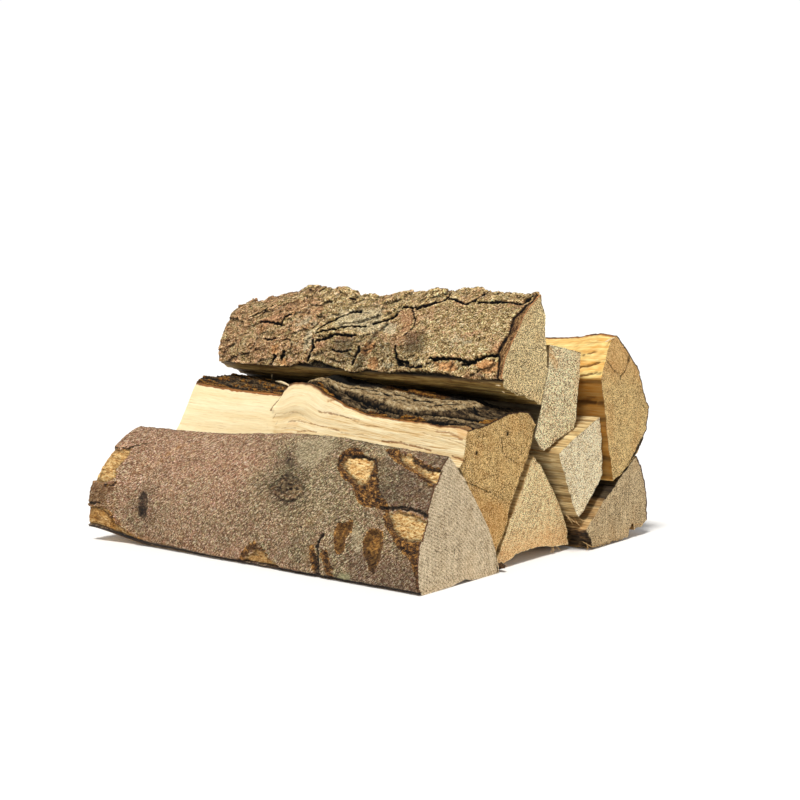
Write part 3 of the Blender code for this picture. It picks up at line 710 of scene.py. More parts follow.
def carve_middle(G):
    X, W, T, K, S, st = G["X"], G["W"], G["T"], G["K"], G["S"], G["starts"]
    w = (W - st[2]) * 83.0 / (st[3] - st[2])           # bark, mm from the back edge to the front edge
    f = T * np.interp(X, [-334, -185, -6], [50, 50, 27]) # pale face, mm down from the bark
    bark, face = K == 2, K == 3
    wx, ww, stroke = pen(X, w, 1.5, 31)
    left = step(-204, -220, X)
    # long ridges with slanted ticks and small plates on them
    a, b = X + 2.0 * w, w - 0.10 * X
    h1, foot1, c1 = shingles((wx + 1.2 * ww) / 19, (ww + 0.05 * wx) / 6.5, 33, 0.7)
    h2, foot2, c2 = shingles((wx + 0.8 * ww) / 7.5, ww / 3.2, 38, 0.8)
    D = 1.7 * h1 + 0.8 * h2 + 1.0 * fbm(X / 40, w / 12, 3, 0.5, 39) + 0.45 * fbm(X / 5, w / 2.0, 3, 0.6, 34) + 0.25 * fbm(X / 2.2, w / 1.8, 2, 0.6, 35)
    # painted shade under the flakes' lifted edges
    dark = np.maximum(0.75 * foot1, 0.55 * foot2)
    ridge = step(-1.5, 2.5, region(wx, ww, [(-172, 56), (-160, 53), (-135, 50), (-96, 50), (-70, 49), (-51, 46), (-35, 38), (-27, 38), (-29, 48), (-40, 58),
                                            (-58, 63), (-85, 69), (-122, 66), (-151, 64), (-172, 62)]))
    lower = step(-1.0, 1.5, region(wx, ww, [(-156, 71), (-122, 73), (-85, 77), (-58, 71), (-35, 67), (-6, 60), (2, 60), (2, 76), (-38, 79), (-68, 81), (-90, 83), (-146, 81)]))
    first = step(-1.0, 1.5, region(wx, ww, [(-204, 62), (-190, 60), (-174, 58), (-168, 62), (-172, 68), (-184, 68), (-198, 70)]))
    D = D * (1 - 0.35 * ridge) + 2.0 * ridge + 0.9 * lower + 1.2 * first
    # the furrows below are cut in and painted near black through dark, and gloom adds painted shade in them
    gloom = np.zeros(X.shape)
    for p, width, deep in (([(-170, 65), (-151, 68), (-122, 70), (-85, 74), (-70, 71), (-58, 68), (-35, 64), (-16, 57)], 2.1, 4.6),
                           ([(-66, 82), (-50, 79), (-30, 76), (-14, 73)], 1.8, 2.6), ([(-140, 76), (-124, 74), (-104, 76)], 1.0, 1.8), ([(-206, 66), (-192, 70), (-178, 74)], 1.2, 2.0),
                           ([(-68, 83), (-38, 80), (-12, 76), (-2, 76)], 1.1, 1.8), ([(-178, 77), (-166, 73), (-157, 75), (-146, 79)], 1.9, 3.4),
                           ([(-150, 57), (-128, 56), (-110, 58)], 0.8, 1.5), ([(-104, 55), (-84, 57), (-66, 54)], 0.8, 1.5), ([(-60, 58), (-48, 52), (-40, 50)], 0.9, 1.5),
                           ([(-124, 77), (-112, 75), (-98, 77)], 0.9, 1.5), ([(-50, 76), (-36, 71), (-20, 71)], 0.9, 1.6), ([(-30, 46), (-22, 52), (-10, 50)], 1.1, 1.8)):
        m = stroke(p, width)
        if width > 1.5:
            reach = width * (1.0 + 0.5 * fbm(X / 9, w / 9, 2, 0.6, 366))
            m = np.maximum(m, 1 - step(reach * 0.5, reach * 1.35, line(wx, ww, p)[0]))
        D = D - deep * m
        dark = np.maximum(dark, m)
        gloom = np.maximum(gloom, min(0.55 + 0.2 * width, 0.97) * m)
    bulge = 7.0 * step(-222, -185, X) * step(-4, -45, X) * bump(w, 40, 40) + 3.5 * step(-60, -6, X) * bump(w, 8, 22)
    D = D + 0.5 * fbm(wx / 12, ww / 1.4, 3, 0.65, 367) * (1 - 0.5 * ridge)
    D = D * (0.35 + 0.65 * step(-6, -20, X)) * (0.4 + 0.6 * step(83, 76, w))
    bulge = bulge + 3.4 * step(-270, -305, X) * bump(w, 72, 15) - 1.2 * bump(X, -262, 40) * bump(w, 45, 40)
    D = D - 1.0 * np.exp(-(w / 5.0) ** 2) + bulge
    rust = np.exp(-((83 - w) / 3.2) ** 2) * (0.75 + 0.5 * left) * step(-0.8, 0.2, fbm(X / 22, w / 5, 2, 0.5, 36))
    for p, width, k in (([(-112, 81), (-100, 80), (-92, 82)], 3.0, 1.2), ([(-78, 80), (-64, 78), (-50, 81)], 3.4, 1.2), ([(-14, 60), (-8, 56), (-4, 50)], 4.0, 1.1),
                        ([(-200, 76), (-190, 72), (-180, 72), (-171, 76), (-163, 80)], 3.0, 1.1), ([(-122, 46), (-98, 44), (-66, 42)], 7.0, 1.3),
                        ([(-160, 78), (-148, 80)], 2.5, 0.9)):
        d, _ = line(wx, ww, p)
        rust = np.maximum(rust, k * (1 - step(width * 0.5, width * 1.1, d)))
    rust = np.maximum(rust, 0.62 * left * step(-0.4, 0.3, fbm(X / 12, w / 7, 3, 0.6, 365)))
    peach = step(-0.8, 0.8, region(wx, ww, [(-40, 83.5), (-26, 80), (-13, 77), (2, 76), (2, 86), (-40, 86)]))
    light = np.clip(0.95 * ridge + 0.30 * lower + 0.7 * first + 0.06 + 0.5 * (c1 - 0.5), 0, 1) * (1 - 0.7 * left) + 0.42 * left * step(-0.1, 0.5, fbm(X / 9, w / 6, 3, 0.6, 368))
    # painted shade: the top log's cast shadow over the bark behind the brow, weaker where glow lies; the furrows'
    # painted shade; the left strip a little darker; and painted shade on the two split faces below, which lie in the
    # gaps
    brow = np.interp(X, [-215, -163, -135, -96, -51, -35, -20, -6], [60, 57, 53, 51, 47, 38, 34, 26]) + 1.2 * fbm(X / 6, w / 5, 3, 0.6, 363)
    brow_cast_shadow = step(brow + 1.0, brow - 1.5, w) * step(-202, -186, X) * (1 - 0.6 * step(-24, -10, X))
    glow = np.clip(1.3 * np.exp(-((X + 93) / 34) ** 2 - ((w - 43.5 - 0.03 * (X + 93)) / 6.0) ** 2), 0, 1)
    shadow = np.where(bark, np.clip(np.maximum(0.95 * brow_cast_shadow * (1 - 0.62 * glow), gloom) + 0.10 * left * (0.7 + 0.6 * step(-0.2, 0.3, fbm(X / 9, w / 8, 3, 0.6, 361))), 0, 0.95), 0)
    shadow = np.maximum(shadow, np.where(K < 2, 0.55, 0))

    # pale split face: flat to the left of the knot's tongue, straight grain to its right
    knot = step(-1.5, 2.5, region(X + 0.8 * fbm(X / 4, f / 4, 2, 0.6, 441), f, [(-208, -6), (-212, 2), (-216, 7), (-221, 15), (-217, 18), (-217, 25), (-212, 34), (-200, 60), (60, 60), (60, -30), (-206, -30)]))
    lined = np.clip(knot * np.maximum(0.5 * step(16, 26, f), step(-165, -130, X)) + 0.12 * knot, 0, 1)
    F = split_relief(X, W, 41, 0.5, 0.10, 0.08) + knot * (1 - step(15, 24, f)) * (1.5 * np.exp(-((X + 196) / 26) ** 2) + 0.7)
    F = F + lined * 0.20 * fbm(X / 60, (f - 0.05 * (X + 200)) / 2.2, 3, 0.6, 42) + knot * 0.10 * fbm(X / 30, f / 5, 2, 0.5, 43)
    _, _, fine = pen(X, f, 0.7, 44, 6.0)
    groove = np.zeros(X.shape)
    for p, width, deep, k in (
        ([(-213, 3), (-216, 7), (-219, 11), (-222, 16)], 1.0, 1.2, 1.0), ([(-213, 19), (-216, 24)], 0.7, 0.5, 0.7), ([(-222, 17), (-217, 17)], 0.6, 0.5, 0.6), ([(-228, 33), (-221, 30), (-219, 34)], 0.4, 0.3, 0.4), ([(-209, 26), (-210, 30)], 0.5, 0.4, 0.6),
        ([(-213, 19), (-195, 21), (-179, 23)], 0.5, 0.25, 0.5), ([(-195, 29), (-180, 28), (-161, 24), (-136, 24)], 0.7, 0.5, 0.8), ([(-163, 13), (-146, 11), (-129, 11), (-116, 10)], 0.8, 0.4, 0.75),
        ([(-181, 37), (-171, 33), (-160, 30)], 0.7, 0.5, 0.8), ([(-150, 12), (-131, 11), (-113, 14), (-94, 12)], 0.6, 0.4, 0.6), ([(-145, 24), (-127, 25), (-109, 22)], 0.7, 0.4, 0.6),
        ([(-88, 23), (-69, 20), (-52, 20), (-38, 20)], 0.9, 0.9, 1.0), ([(-17, 20), (-6, 21)], 0.8, 0.9, 1.0), ([(-36, 4), (-23, 4), (-10, 7)], 1.0, 0.6, 0.8),
        ([(-53, 18), (-37, 17), (-22, 16)], 0.5, 0.3, 0.6), ([(-49, 8), (-31, 8), (-6, 10)], 0.5, 0.4, 0.6), ([(-155, 4), (-148, 1)], 1.0, 0.5, 0.8), ([(-205, 33), (-190, 35), (-178, 33)], 0.5, 0.3, 0.5),
        ([(-125, 30), (-108, 27), (-92, 28)], 0.5, 0.3, 0.5), ([(-80, 10), (-66, 9), (-50, 11)], 0.4, 0.2, 0.4), ([(-110, 5), (-96, 5), (-84, 7)], 0.4, 0.2, 0.4), ([(-176, 8), (-168, 9)], 0.4, 0.2, 0.4),
    ):
        m = fine(p, width)
        groove = np.maximum(groove, k * m)
        F = F - deep * 0.45 * m
    tint = np.maximum(0.9 * fine([(-200, 40), (-191, 39.5), (-182, 40)], 1.6), 0.6 * fine([(-195, 31), (-184, 31)], 1.4))
    tint = np.maximum(tint, 0.8 * step(-1, 1, region(X, f, [(-18, -2), (-5, -2), (-5, 5), (-13, 7)])))
    tint = np.maximum(tint, 0.8 * fine([(-155, 4), (-148, 1)], 1.2))
    tint = np.maximum(tint, 0.45 * np.exp(-(f / 3.0) ** 2) * step(-40, -30, X))
    inner = left * (1 - step(1.2, 3.4, f + 0.8 * fbm(X / 9, f / 3, 2, 0.6, 442))) + step(-165, -150, X) * step(-40, -60, X) * (1 - step(0.1, 1.1, f + 1.0 * fbm(X / 12, f / 3, 3, 0.6, 443)))
    other = split_relief(X, W, 47, 0.8, 0.3, 0.4)
    D = np.where(bark, D, np.where(face, F, other))
    masks = dict(tone=np.where(face, lined, np.where(bark, c1, 0.6)), dark=np.where(bark, dark, np.where(face, groove, 0)), rust=np.where(bark, rust, np.where(face, tint, 0)),
                 light=np.where(bark, light, 0), rim=np.where(face, inner, 0), bare=np.where(bark, peach, 0), shadow=shadow)
    masks["dx"] = np.where(bark & (S < 1e-6), -0.5 * (0.5 + 0.5 * noise(w / 3, w * 0 + 5, 48)), 0.0) + np.where(face & (S < 1e-6), 0.4 * noise(f / 1.2, f * 0, 49), 0.0)
    # the tongue's flat top, and the edge dipping to its right
    seam = np.interp(X, [-345, -228, -214, -209, -204, -198, -192, -183, -171, -165, -160, -152, -140, -136, -110, -76, -46, -37, -14, -6],
                     [0, 0.3, -0.2, 2.7, 4.7, 4.6, 1.9, 1.0, 4.5, 5.1, 4.1, 2.6, 0.2, -1.9, -4.8, -2.6, 0.4, -0.4, 1.8, 0.5]) + 0.5 * fbm(X / 5, X * 0 + 3, 2, 0.6, 481)
    masks["dz"] = seam * np.where(bark, np.exp(-((83 - w) / 13.0) ** 2), np.where(face, np.exp(-(f / 8.0) ** 2), 0))
    return D, masks


def carve_top(G):
    X, W, T, K, S, st = G["X"], G["W"], G["T"], G["K"], G["S"], G["starts"]
    w = (W - st[3]) * 77.0 / (st[4] - st[3])           # mm down the bark from the crest
    bark = K == 3
    wx, ww, stroke = pen(X, w, 1.5, 51)
    plate = step(-3, 3, region(wx, ww, [(-136, 46), (-136, 24), (-127, 18), (-110, 19), (-98, 16), (-89, 10), (-76, 13), (-64, 17), (-50, 14), (-30, 12), (-4, 9), (4, 60), (-26, 61), (-46, 63), (-77, 64), (-112, 58)]))
    smooth = np.maximum(plate, step(-2, 2, region(wx, ww, [(-88, 8), (-76, 12), (-62, 15), (-54, 4), (-58, -4), (-84, -4)])))
    left = step(-205, -250, X)
    # torn flakes lying on each other, long along the log and rising to the right
    turn = 0.30
    jx = X + 3.0 * fbm(X / 6, w / 5.0, 3, 0.65, 53) + 8 * fbm(X / 24, w / 18, 2, 0.5, 511)
    jw = w + 2.4 * fbm(X / 6 + 9, w / 5.0, 3, 0.65, 54) + 5 * fbm(X / 22 + 9, w / 16, 2, 0.5, 521)
    a, b = jx * np.cos(turn) - jw * np.sin(turn), jw * np.cos(turn) + jx * np.sin(turn)
    h1, foot1, c1 = shingles(a / 21, b / 12.0, 55, 0.8)
    h2, foot2, c2 = shingles(a / 9.0 + 3.3, b / 5.0, 56, 0.8)
    h3, foot3, c3 = shingles(a / 3.6, b / 2.4 + 5, 57, 0.8)
    some = step(-0.35, 0.35, fbm(X / 15, w / 10, 3, 0.6, 561))
    rough = (1 - 0.72 * smooth) * (0.45 + 0.55 * some)
    folds = step(-218, -206, X) * step(-146, -158, X) * step(20, 28, w) * step(62, 54, w)
    D = rough * (2.1 * h1 + 0.9 * h2) + (0.45 + 0.55 * rough) * 0.20 * h3 + 1.5 * fbm(X / 46, w / 30, 3, 0.5, 58)
    D = D + 0.16 * fbm(X / 3.6, w / 3.0, 3, 0.65, 59) + 0.16 * noise(X / 1.3, w / 1.2, 60)
    D = D + folds * 1.0 * (ridged((X + 1.6 * w) / 34, (w + 0.30 * X) / 5.0, 2, 0.5, 591) - 0.55)
    # painted shade under the flakes' lifted edges
    dark = np.maximum(rough * np.maximum(0.60 * foot1, 0.40 * foot2), 0.10 * foot3 * (0.4 + 0.6 * rough))
    shadow = np.zeros(X.shape)
    for p, width, deep, lip in (
        ([(-289, 37), (-275, 39), (-259, 42), (-257, 35), (-251, 33)], 1.2, 2.0, 0.8), ([(-275, 55), (-267, 56), (-261, 55)], 1.0, 1.8, 0.8), ([(-252, 56), (-246, 55), (-241, 56)], 0.6, 1.2, 0.8),
        ([(-212, 44), (-200, 33), (-191, 25), (-181, 21), (-172, 22)], 1.1, 2.0, 0.9), ([(-212, 47), (-198, 43), (-187, 39), (-176, 37), (-159, 37)], 1.1, 2.0, 0.9),
        ([(-210, 54), (-198, 51), (-192, 46), (-179, 46), (-168, 46)], 1.5, 2.4, 0.9), ([(-212, 31), (-216, 38), (-219, 44)], 0.9, 1.2, 0.3),
        ([(-152, 34), (-140, 31), (-137, 29), (-131, 25)], 1.5, 2.4, 1.0), ([(-259, 70), (-263, 76)], 2.0, 2.4, 0), ([(-246, 66), (-251, 70)], 2.0, 2.4, 0),
        ([(-215, 54), (-212, 61), (-216, 70)], 1.8, 2.6, 0), ([(-158, 57), (-160, 66), (-162, 70)], 1.7, 2.6, 0), ([(-113, 64), (-109, 69)], 1.8, 2.4, 0),
        ([(-235, 6), (-231, 0)], 1.2, 2.0, 0.6), ([(-138, 31), (-133, 25), (-129, 18), (-125, 17), (-110, 20), (-98, 16), (-91, 12), (-89, 8), (-89, 4)], 0.95, 2.6, 1.3),
        ([(-112, 20), (-104, 18), (-97, 15)], 2.0, 1.5, 0.3), ([(-87, 10), (-76, 13), (-64, 17), (-57, 13), (-54, 4)], 0.9, 1.8, 0.8), ([(-53, 14), (-44, 14), (-34, 12), (-21, 12), (-11, 12), (-6, 1)], 1.0, 2.0, 1.0),
        ([(-118, 20), (-108, 31), (-107, 38), (-114, 46)], 0.7, 1.0, 0.3), ([(-77, 64), (-62, 63), (-48, 63), (-38, 65), (-28, 63), (-21, 60), (-12, 59)], 1.15, 3.0, 1.5),
        ([(-118, 55), (-112, 66), (-99, 68)], 1.3, 2.2, 0.5), ([(-44, 67), (-36, 66), (-30, 65)], 1.1, 1.5, 0), ([(-108, 69), (-94, 71), (-84, 70)], 0.9, 1.4, 0),
        ([(-196, 8), (-186, 5), (-178, 1)], 0.9, 1.4, 0.6), ([(-190, 60), (-176, 62), (-166, 60)], 1.0, 1.4, 0.5), ([(-308, 30), (-296, 26), (-284, 20)], 0.9, 1.2, 0.5),
    ):
        m = stroke(p, width)
        D = D - deep * m
        d, side = line(X, w, p)
        D = D + lip * np.exp(-d / 7.0) * np.where(side * AWAY > 0, 1, 0)
        dark = np.maximum(dark, m)
    # the right-hand end shows the bark's own layers, broken back from the cut
    edge_x = np.interp(w, [1, 9, 14, 21, 26, 32, 40, 47, 56, 61, 77], [-6.2, -6.4, -8.5, -9.5, -13, -12.5, -10.5, -12, -12.5, -10, -8]) + 0.9 * fbm(w / 3.0, w * 0, 3, 0.6, 571)
    layer = step(edge_x - 0.5, edge_x + 0.5, X)
    D = D * (1 - 0.8 * layer) - layer * (1.3 + 0.5 * noise(X / 1.0, w / 7, 581))
    dark = np.maximum(dark * (1 - layer), 0.95 * np.exp(-((X - edge_x - 1.0) / (1.1 + 0.6 * noise(w / 6, w * 0, 583))) ** 2) * step(2, 8, w) * (0.5 + 0.5 * step(-0.5, 0.2, fbm(w / 4, w * 0 + 1, 2, 0.6, 582))))
    # the low edge hangs ragged over the split below, with painted shade under it
    low_w = np.interp(X, [-305, -270, -247, -236, -226, -214, -209, -200, -184, -162, -154, -145, -124, -118, -109, -85, -58, -35, -6],
                      [77, 77, 77, 76, 73, 73, 70, 71, 74, 77, 77, 74, 76, 76, 74, 73, 73, 76, 74]) + 1.3 * fbm(X / 4.0, X * 0 + 2, 3, 0.65, 592)
    gone = step(low_w - 0.5, low_w + 0.7, w)
    D = D * (1 - gone) - 3.4 * gone
    D = D + np.exp(-((low_w - w) / 4.0) ** 2) * (1 - gone) * (0.7 + 0.9 * noise(X / 5, w * 0 + 2, 593))
    shadow = np.maximum(shadow, 0.72 * gone)
    crest = np.interp(X, CREST_X, CREST_D)
    D = D + crest * np.exp(-(w / 15.0) ** 2) + np.exp(-(w / 4.0) ** 2) * (1.1 * noise(X / 4.6, w / 6, 62) + 0.9 * noise(X / 1.9, w / 6, 621))
    flakes = np.full(X.shape, -99.0)
    for p in ([(-290, 42), (-281, 42), (-279, 48), (-285, 48)], [(-263, 68), (-263, 60), (-255, 60), (-254, 68)], [(-255, 73), (-243, 69), (-243, 76), (-247, 77)],
              [(-156, 61), (-151, 52), (-141, 51), (-141, 56), (-148, 65)], [(-143, 72), (-143, 65), (-133, 65), (-130, 72), (-137, 74)],
              [(-73, 66), (-56, 65), (-46, 70), (-56, 72), (-69, 70)], [(-31, 66), (-23, 63), (-8, 63), (-8, 69), (-18, 72)]):
        flakes = np.maximum(flakes, region(wx, ww, p))
    D = D - 0.9 * step(-0.5, 0.8, flakes)
    reds = np.full(X.shape, -99.0)
    for p in ([(-132, 20), (-114, 22), (-109, 39), (-116, 43)], [(-212, 57), (-195, 50), (-199, 59), (-207, 63)], [(-39, 70), (-28, 72), (-28, 76), (-40, 76)],
              [(-22, 58), (-14, 48), (-8, 40), (-8, 58)], [(-286, 34), (-262, 30), (-258, 40), (-284, 44)], [(-240, 30), (-222, 18), (-216, 26), (-234, 38)]):
        reds = np.maximum(reds, region(wx, ww, p))
    pale = np.zeros(X.shape)
    for p in ([(-234, 34), (-226, 30), (-227, 40), (-236, 44)], [(-143, 35), (-127, 34), (-126, 44), (-134, 44)], [(-137, 33), (-127, 34), (-124, 43), (-131, 43)],
              [(-127, 69), (-112, 69), (-119, 73)], [(-97, 68), (-85, 64), (-83, 70)], [(-50, 50), (-41, 47), (-40, 51)], [(-225, 48), (-218, 44), (-214, 58), (-222, 66)],
              [(-12, 26), (-7, 23), (-7, 27)], [(-51, 70.5), (-46, 68.5), (-42, 70.5)]):
        pale = np.maximum(pale, step(-1.0, 1.0, region(wx, ww, p)))
    under = split_relief(X, W, 63, 0.9, 0.35, 0.6)
    over = np.clip((st[3] - W) / 5.0, 0, 1)             # down the back from the crest
    ridge_col = int(np.argmax(K[0] == 3))
    under = np.where(K == 2, under * over + D[:, ridge_col:ridge_col + 1] * (1 - over), under)
    lost = gone[:, -1:] if K[0, -1] == 3 else gone[:, [int(np.max(np.nonzero(K[0] == 3)[0]))]]
    near_edge = np.where(K == 0, np.exp(-((W - st[0]) / 3.5) ** 2), 0)
    under = under - 3.4 * lost * near_edge
    under = np.where(K == 2, under - (2.6 * step(188, 174, G["Z"]) + 1.2 * step(194, 200, G["Z"])) * step(-70, -25, X), under)
    D = np.where(bark, D, under)
    hue = 0.36 + 0.40 * fbm(X / 26, w / 18, 3, 0.5, 64) + 0.34 * (c1 - 0.5) + 0.22 * (c2 - 0.5) + 0.30 * left + 0.22 * plate * step(-40, -110, X)
    lichen = step(0.15, 0.7, fbm(X / 13, w / 9, 4, 0.6, 65) + 0.30 * np.exp(-((X + 60) / 34) ** 2 - ((w - 46) / 14) ** 2) + 0.30 * np.exp(-((X + 222) / 18) ** 2 - ((w - 36) / 16) ** 2))
    glow = 1.0 * step(-4, 5, region(wx, ww, [(-200, 20), (-150, 16), (-140, 40), (-150, 46), (-196, 40)]))
    # murk darkens patches low on the bark and paints shade in the gap between two pieces; side_shade paints shade on
    # the underside's lower part and on the small face beside it
    murk = 0.60 * step(-2, 3, region(wx, ww, [(-192, 50), (-168, 47), (-162, 61), (-168, 68), (-184, 62)])) + 0.46 * step(-2, 3, region(wx, ww, [(-112, 44), (-92, 40), (-84, 60), (-104, 62)]))
    murk = murk + 0.22 * step(44, 54, w) * step(-206, -192, X) * step(-86, -100, X) * (1 - step(-1, 1, region(wx, ww, [(-192, 50), (-168, 47), (-162, 61), (-168, 68), (-184, 62)])))
    murk = np.maximum(murk, 0.62 * step(-1.5, 1.5, region(wx, ww, [(-160, 76), (-154, 58), (-147, 44), (-143, 40), (-142, 46), (-148, 60), (-150, 76)])))
    side_shade = np.where(K == 0, np.maximum(0.12 + 0.70 * step(0.40, 0.85, T) * step(-20, -60, X), 0.7 * near_edge * step(-20, -60, X)), np.where(K == 1, 0.85, 0))
    masks = dict(tone=np.where(bark, np.clip(hue, 0, 1), 0.5), dark=np.where(bark, dark, 0), bare=np.where(bark, flakes, -99),
                 rust=np.where(bark, np.maximum(0.9 * step(-1.0, 1.5, reds), 0.4 * step(0.78, 0.9, c2) * (0.3 + 0.5 * left) * rough), 0),
                 light=np.where(bark, np.maximum(np.maximum(lichen, glow), 1.6 * pale), 0), rim=np.where(bark, layer * step(1, 6, w + 3), 0), shadow=np.where(bark, np.clip(shadow + murk, 0, 0.9), side_shade))
    masks["dx"] = np.where(bark & (S < 1e-6), -0.8 * (0.5 + 0.5 * noise(w / 3, w * 0 + 5, 66)), 0.0)
    masks["dx"] = np.where(bark & (S > 0.999), 2.0 * (0.5 + 0.5 * noise(w / 5, w * 0 + 5, 67)), masks["dx"])
    return D, masks


CREST_X = [-333, -328, -322, -317, -311, -306, -300, -295, -289, -284, -278, -273, -267, -262, -256, -251, -245, -240, -234, -229, -223, -218, -212, -207, -201, -196, -190, -185, -179, -174, -168, -163, -157, -152, -146, -141, -135, -130, -124, -119, -113, -108, -102, -97, -91, -86, -80, -75, -69, -64, -58, -53, -47, -42, -36, -31, -25, -20, -14, -9]
CREST_D = [-4.9, -1.1, -0.6, -1.8, -1.1, 0.7, -0.4, -1.5, -1.6, -1.1, -1.4, -1.6, -3.0, -1.1, 0.9, 1.8, 0.8, 0.7, 1.8, 1.9, 0.7, 2.7, 4.2, 5.1, 3.2, 3.9, -0.2, 2.2, 3.1, 2.8, 0.7, 1.0, 1.9, 3.0, 4.4, 3.9, 4.8, 3.8, 4.2, 3.7, 2.6, 4.4, 1.5, 1.2, -0.2, 1.1, 2.6, 2.3, 1.7, 3.2, 1.9, 0.4, 1.9, 0.9, 0.5, 0.5, 1.3, 0.7, 0.9, 2.2]


AWAY = 1


def carve_split(seed, waves=0.8, fibre=0.3, steps=0.45, bark_amount=0.8, floor_k=None, shade=(), extra=None):
    """A log that is split on every side, or has only thin bark."""
    def carve(G):
        X, W, K, S, st = G["X"], G["W"], G["K"], G["S"], G["starts"]
        D = split_relief(X, W, seed, waves, fibre, steps)
        rough = fbm(X / 26, W / 9, 4, 0.6, seed + 3)
        jx, jw = X + 7 * fbm(X / 22, W / 14, 3, 0.55, seed + 11), W + 3.5 * fbm(X / 22 + 5, W / 14, 3, 0.55, seed + 12)
        h1, foot1, c1 = shingles(jx / 26, jw / 8.5, seed + 13, 0.7)
        h2, foot2, c2 = shingles(jx / 9, jw / 4.0, seed + 14, 0.7)
        crack = ridged(jx / 44, jw / 9, 2, 0.5, seed + 4)
        fissure = step(0.80, 0.95, crack)
        B = bark_amount * (0.7 * rough + 0.8 * h1 + 0.35 * h2 - 1.5 * fissure) + 0.25 * fbm(X / 3.0, W / 2.0, 3, 0.6, seed + 5)
        is_bark = np.isin(K, [k for k, side in enumerate(G["log"]["sides"]) if side[0] == "bark"])
        seam = np.minimum(np.abs(edge_distance(G["log"], K[0], W[0], st)), 6.0)[None] / 6.0
        D = np.where(is_bark, B, D) * (0.35 + 0.65 * seam)
        dx = np.where(S < 1e-6, 0.35 * noise(W / 1.1, W * 0 + 2, seed + 6) - 0.15, 0.0)
        if floor_k is not None:
            D = np.where(K == floor_k, np.minimum(D, 0.2), D)
        # on bark, dark takes the fissures and painted shade under the flakes' lifted edges
        masks = dict(tone=0.5 + 0.5 * fbm(X / 60, W / 20, 3, 0.5, seed + 7),
                     dark=np.where(is_bark, np.maximum(0.75 * fissure, np.maximum(0.5 * foot1, 0.3 * foot2)), 0.6 * step(0.72, 0.86, ridged(X / 90, W / 5, 2, 0.5, seed + 8))),
                     light=np.where(is_bark, np.clip(0.30 + 0.35 * (c1 - 0.5) + 0.3 * (c2 - 0.5) + 0.5 * fbm(X / 30, W / 16, 3, 0.5, seed + 15), 0, 0.8), 0), dx=dx,
                     rust=np.where(is_bark, 0.32 * step(0.2, 0.6, fbm(X / 22, W / 10, 3, 0.5, seed + 9)), 0))
        # painted shade on the faces listed in shade
        dim = np.zeros(X.shape)
        for k, amount in shade:
            dim = np.where(K == k, amount, dim)
        masks["shadow"] = dim
        return extra(G, D, masks) if extra else (D, masks)
    return carve


def more_diamond(G, D, masks):
    """Painted shade on the left face, which lies in the other logs' shade, but for its lit upper band, and lighter
    painted shade on the next face round.
    """
    X, W, T, K = G["X"], G["W"], G["T"], G["K"]
    band = step(0.10, 0.16, T + 0.02 * fbm(X / 9, W / 4, 2, 0.5, 152))
    masks["shadow"] = np.where(K == 0, band * (0.16 + 0.50 * step(0, -26, X + 12 * fbm(X / 20, W / 2.5, 2, 0.6, 153))), np.where(K == 1, 0.30, 0))
    D = np.where(K == 0, D + 0.35 * fbm(X / 26, W / 1.6, 3, 0.6, 154), D)
    return D, masks


def more_round(G, D, masks):
    """Torn, curling fibres over the top face, and painted shade on the face below them."""
    X, W, T, K = G["X"], G["W"], G["T"], G["K"]
    a, b = X * 0.92 - W * 0.39, W * 0.92 + X * 0.39
    swirl = step(-70, -20, X) * (K == 3)
    D = np.where(K == 3, D * (0.45 - 0.3 * swirl), D) + swirl * (0.45 * fbm(a / 22 + 0.6 * noise(X / 20, W / 14, 171), b / 3.2, 3, 0.6, 172) + 0.28 * fbm(a / 9, b / 1.3, 2, 0.6, 173))
    _, _, stroke = pen(X, W, 0.8, 174)
    top, low = G["starts"][3], G["starts"][4]
    for p, width, deep in (([(-24, low - 7), (-14, low - 10), (-4, low - 12), (4, low - 15)], 0.9, 1.8), ([(-10, low - 3), (0, low - 5), (8, low - 6)], 0.8, 1.4),
                           ([(-46, low - 5), (-34, low - 6), (-24, low - 9)], 0.6, 1.0), ([(-30, low - 18), (-16, low - 20), (0, low - 24)], 0.5, 0.7),
                           ([(-52, low + 16), (-30, low + 18), (-8, low + 19), (9, low + 20)], 0.9, 1.6)):
        m = stroke(p, width)
        D = D - deep * m
        masks["dark"] = np.maximum(masks["dark"], 0.9 * m)
    # painted shade on the lower face, which the full orange stain below tints as painted warm reflected light; painted
    # shade along the top face's lower edge
    shade = np.where(K == 4, 0.58 + 0.15 * step(-10, -40, X), 0)
    shade = np.where(K == 3, 0.4 * np.exp(-((low - W) / 2.5) ** 2), shade)
    masks["shadow"] = shade
    masks["rust"] = np.where(K == 4, 1.3, np.where(K == 3, (0.35 + 0.4 * step(-40, -8, X)) * step(-0.2, 0.5, fbm(a / 12, b / 4, 3, 0.5, 175)), masks["rust"]))
    masks["tone"] = np.where(K == 3, 0.3, masks["tone"])
    rise = np.interp(X, [-330, -90, -55, -36, -23, -18, -12, -4, -1, 5, 10], [-1.0, -2.2, -2.2, -1.8, -0.8, 0.3, 1.3, 2.1, 1.6, 0.5, 0.3]) + 0.5 * fbm(X / 3, X * 0 + 1, 2, 0.6, 176)
    masks["dz"] = rise * np.exp(-((W - top) / 9.0) ** 2)
    return D, masks


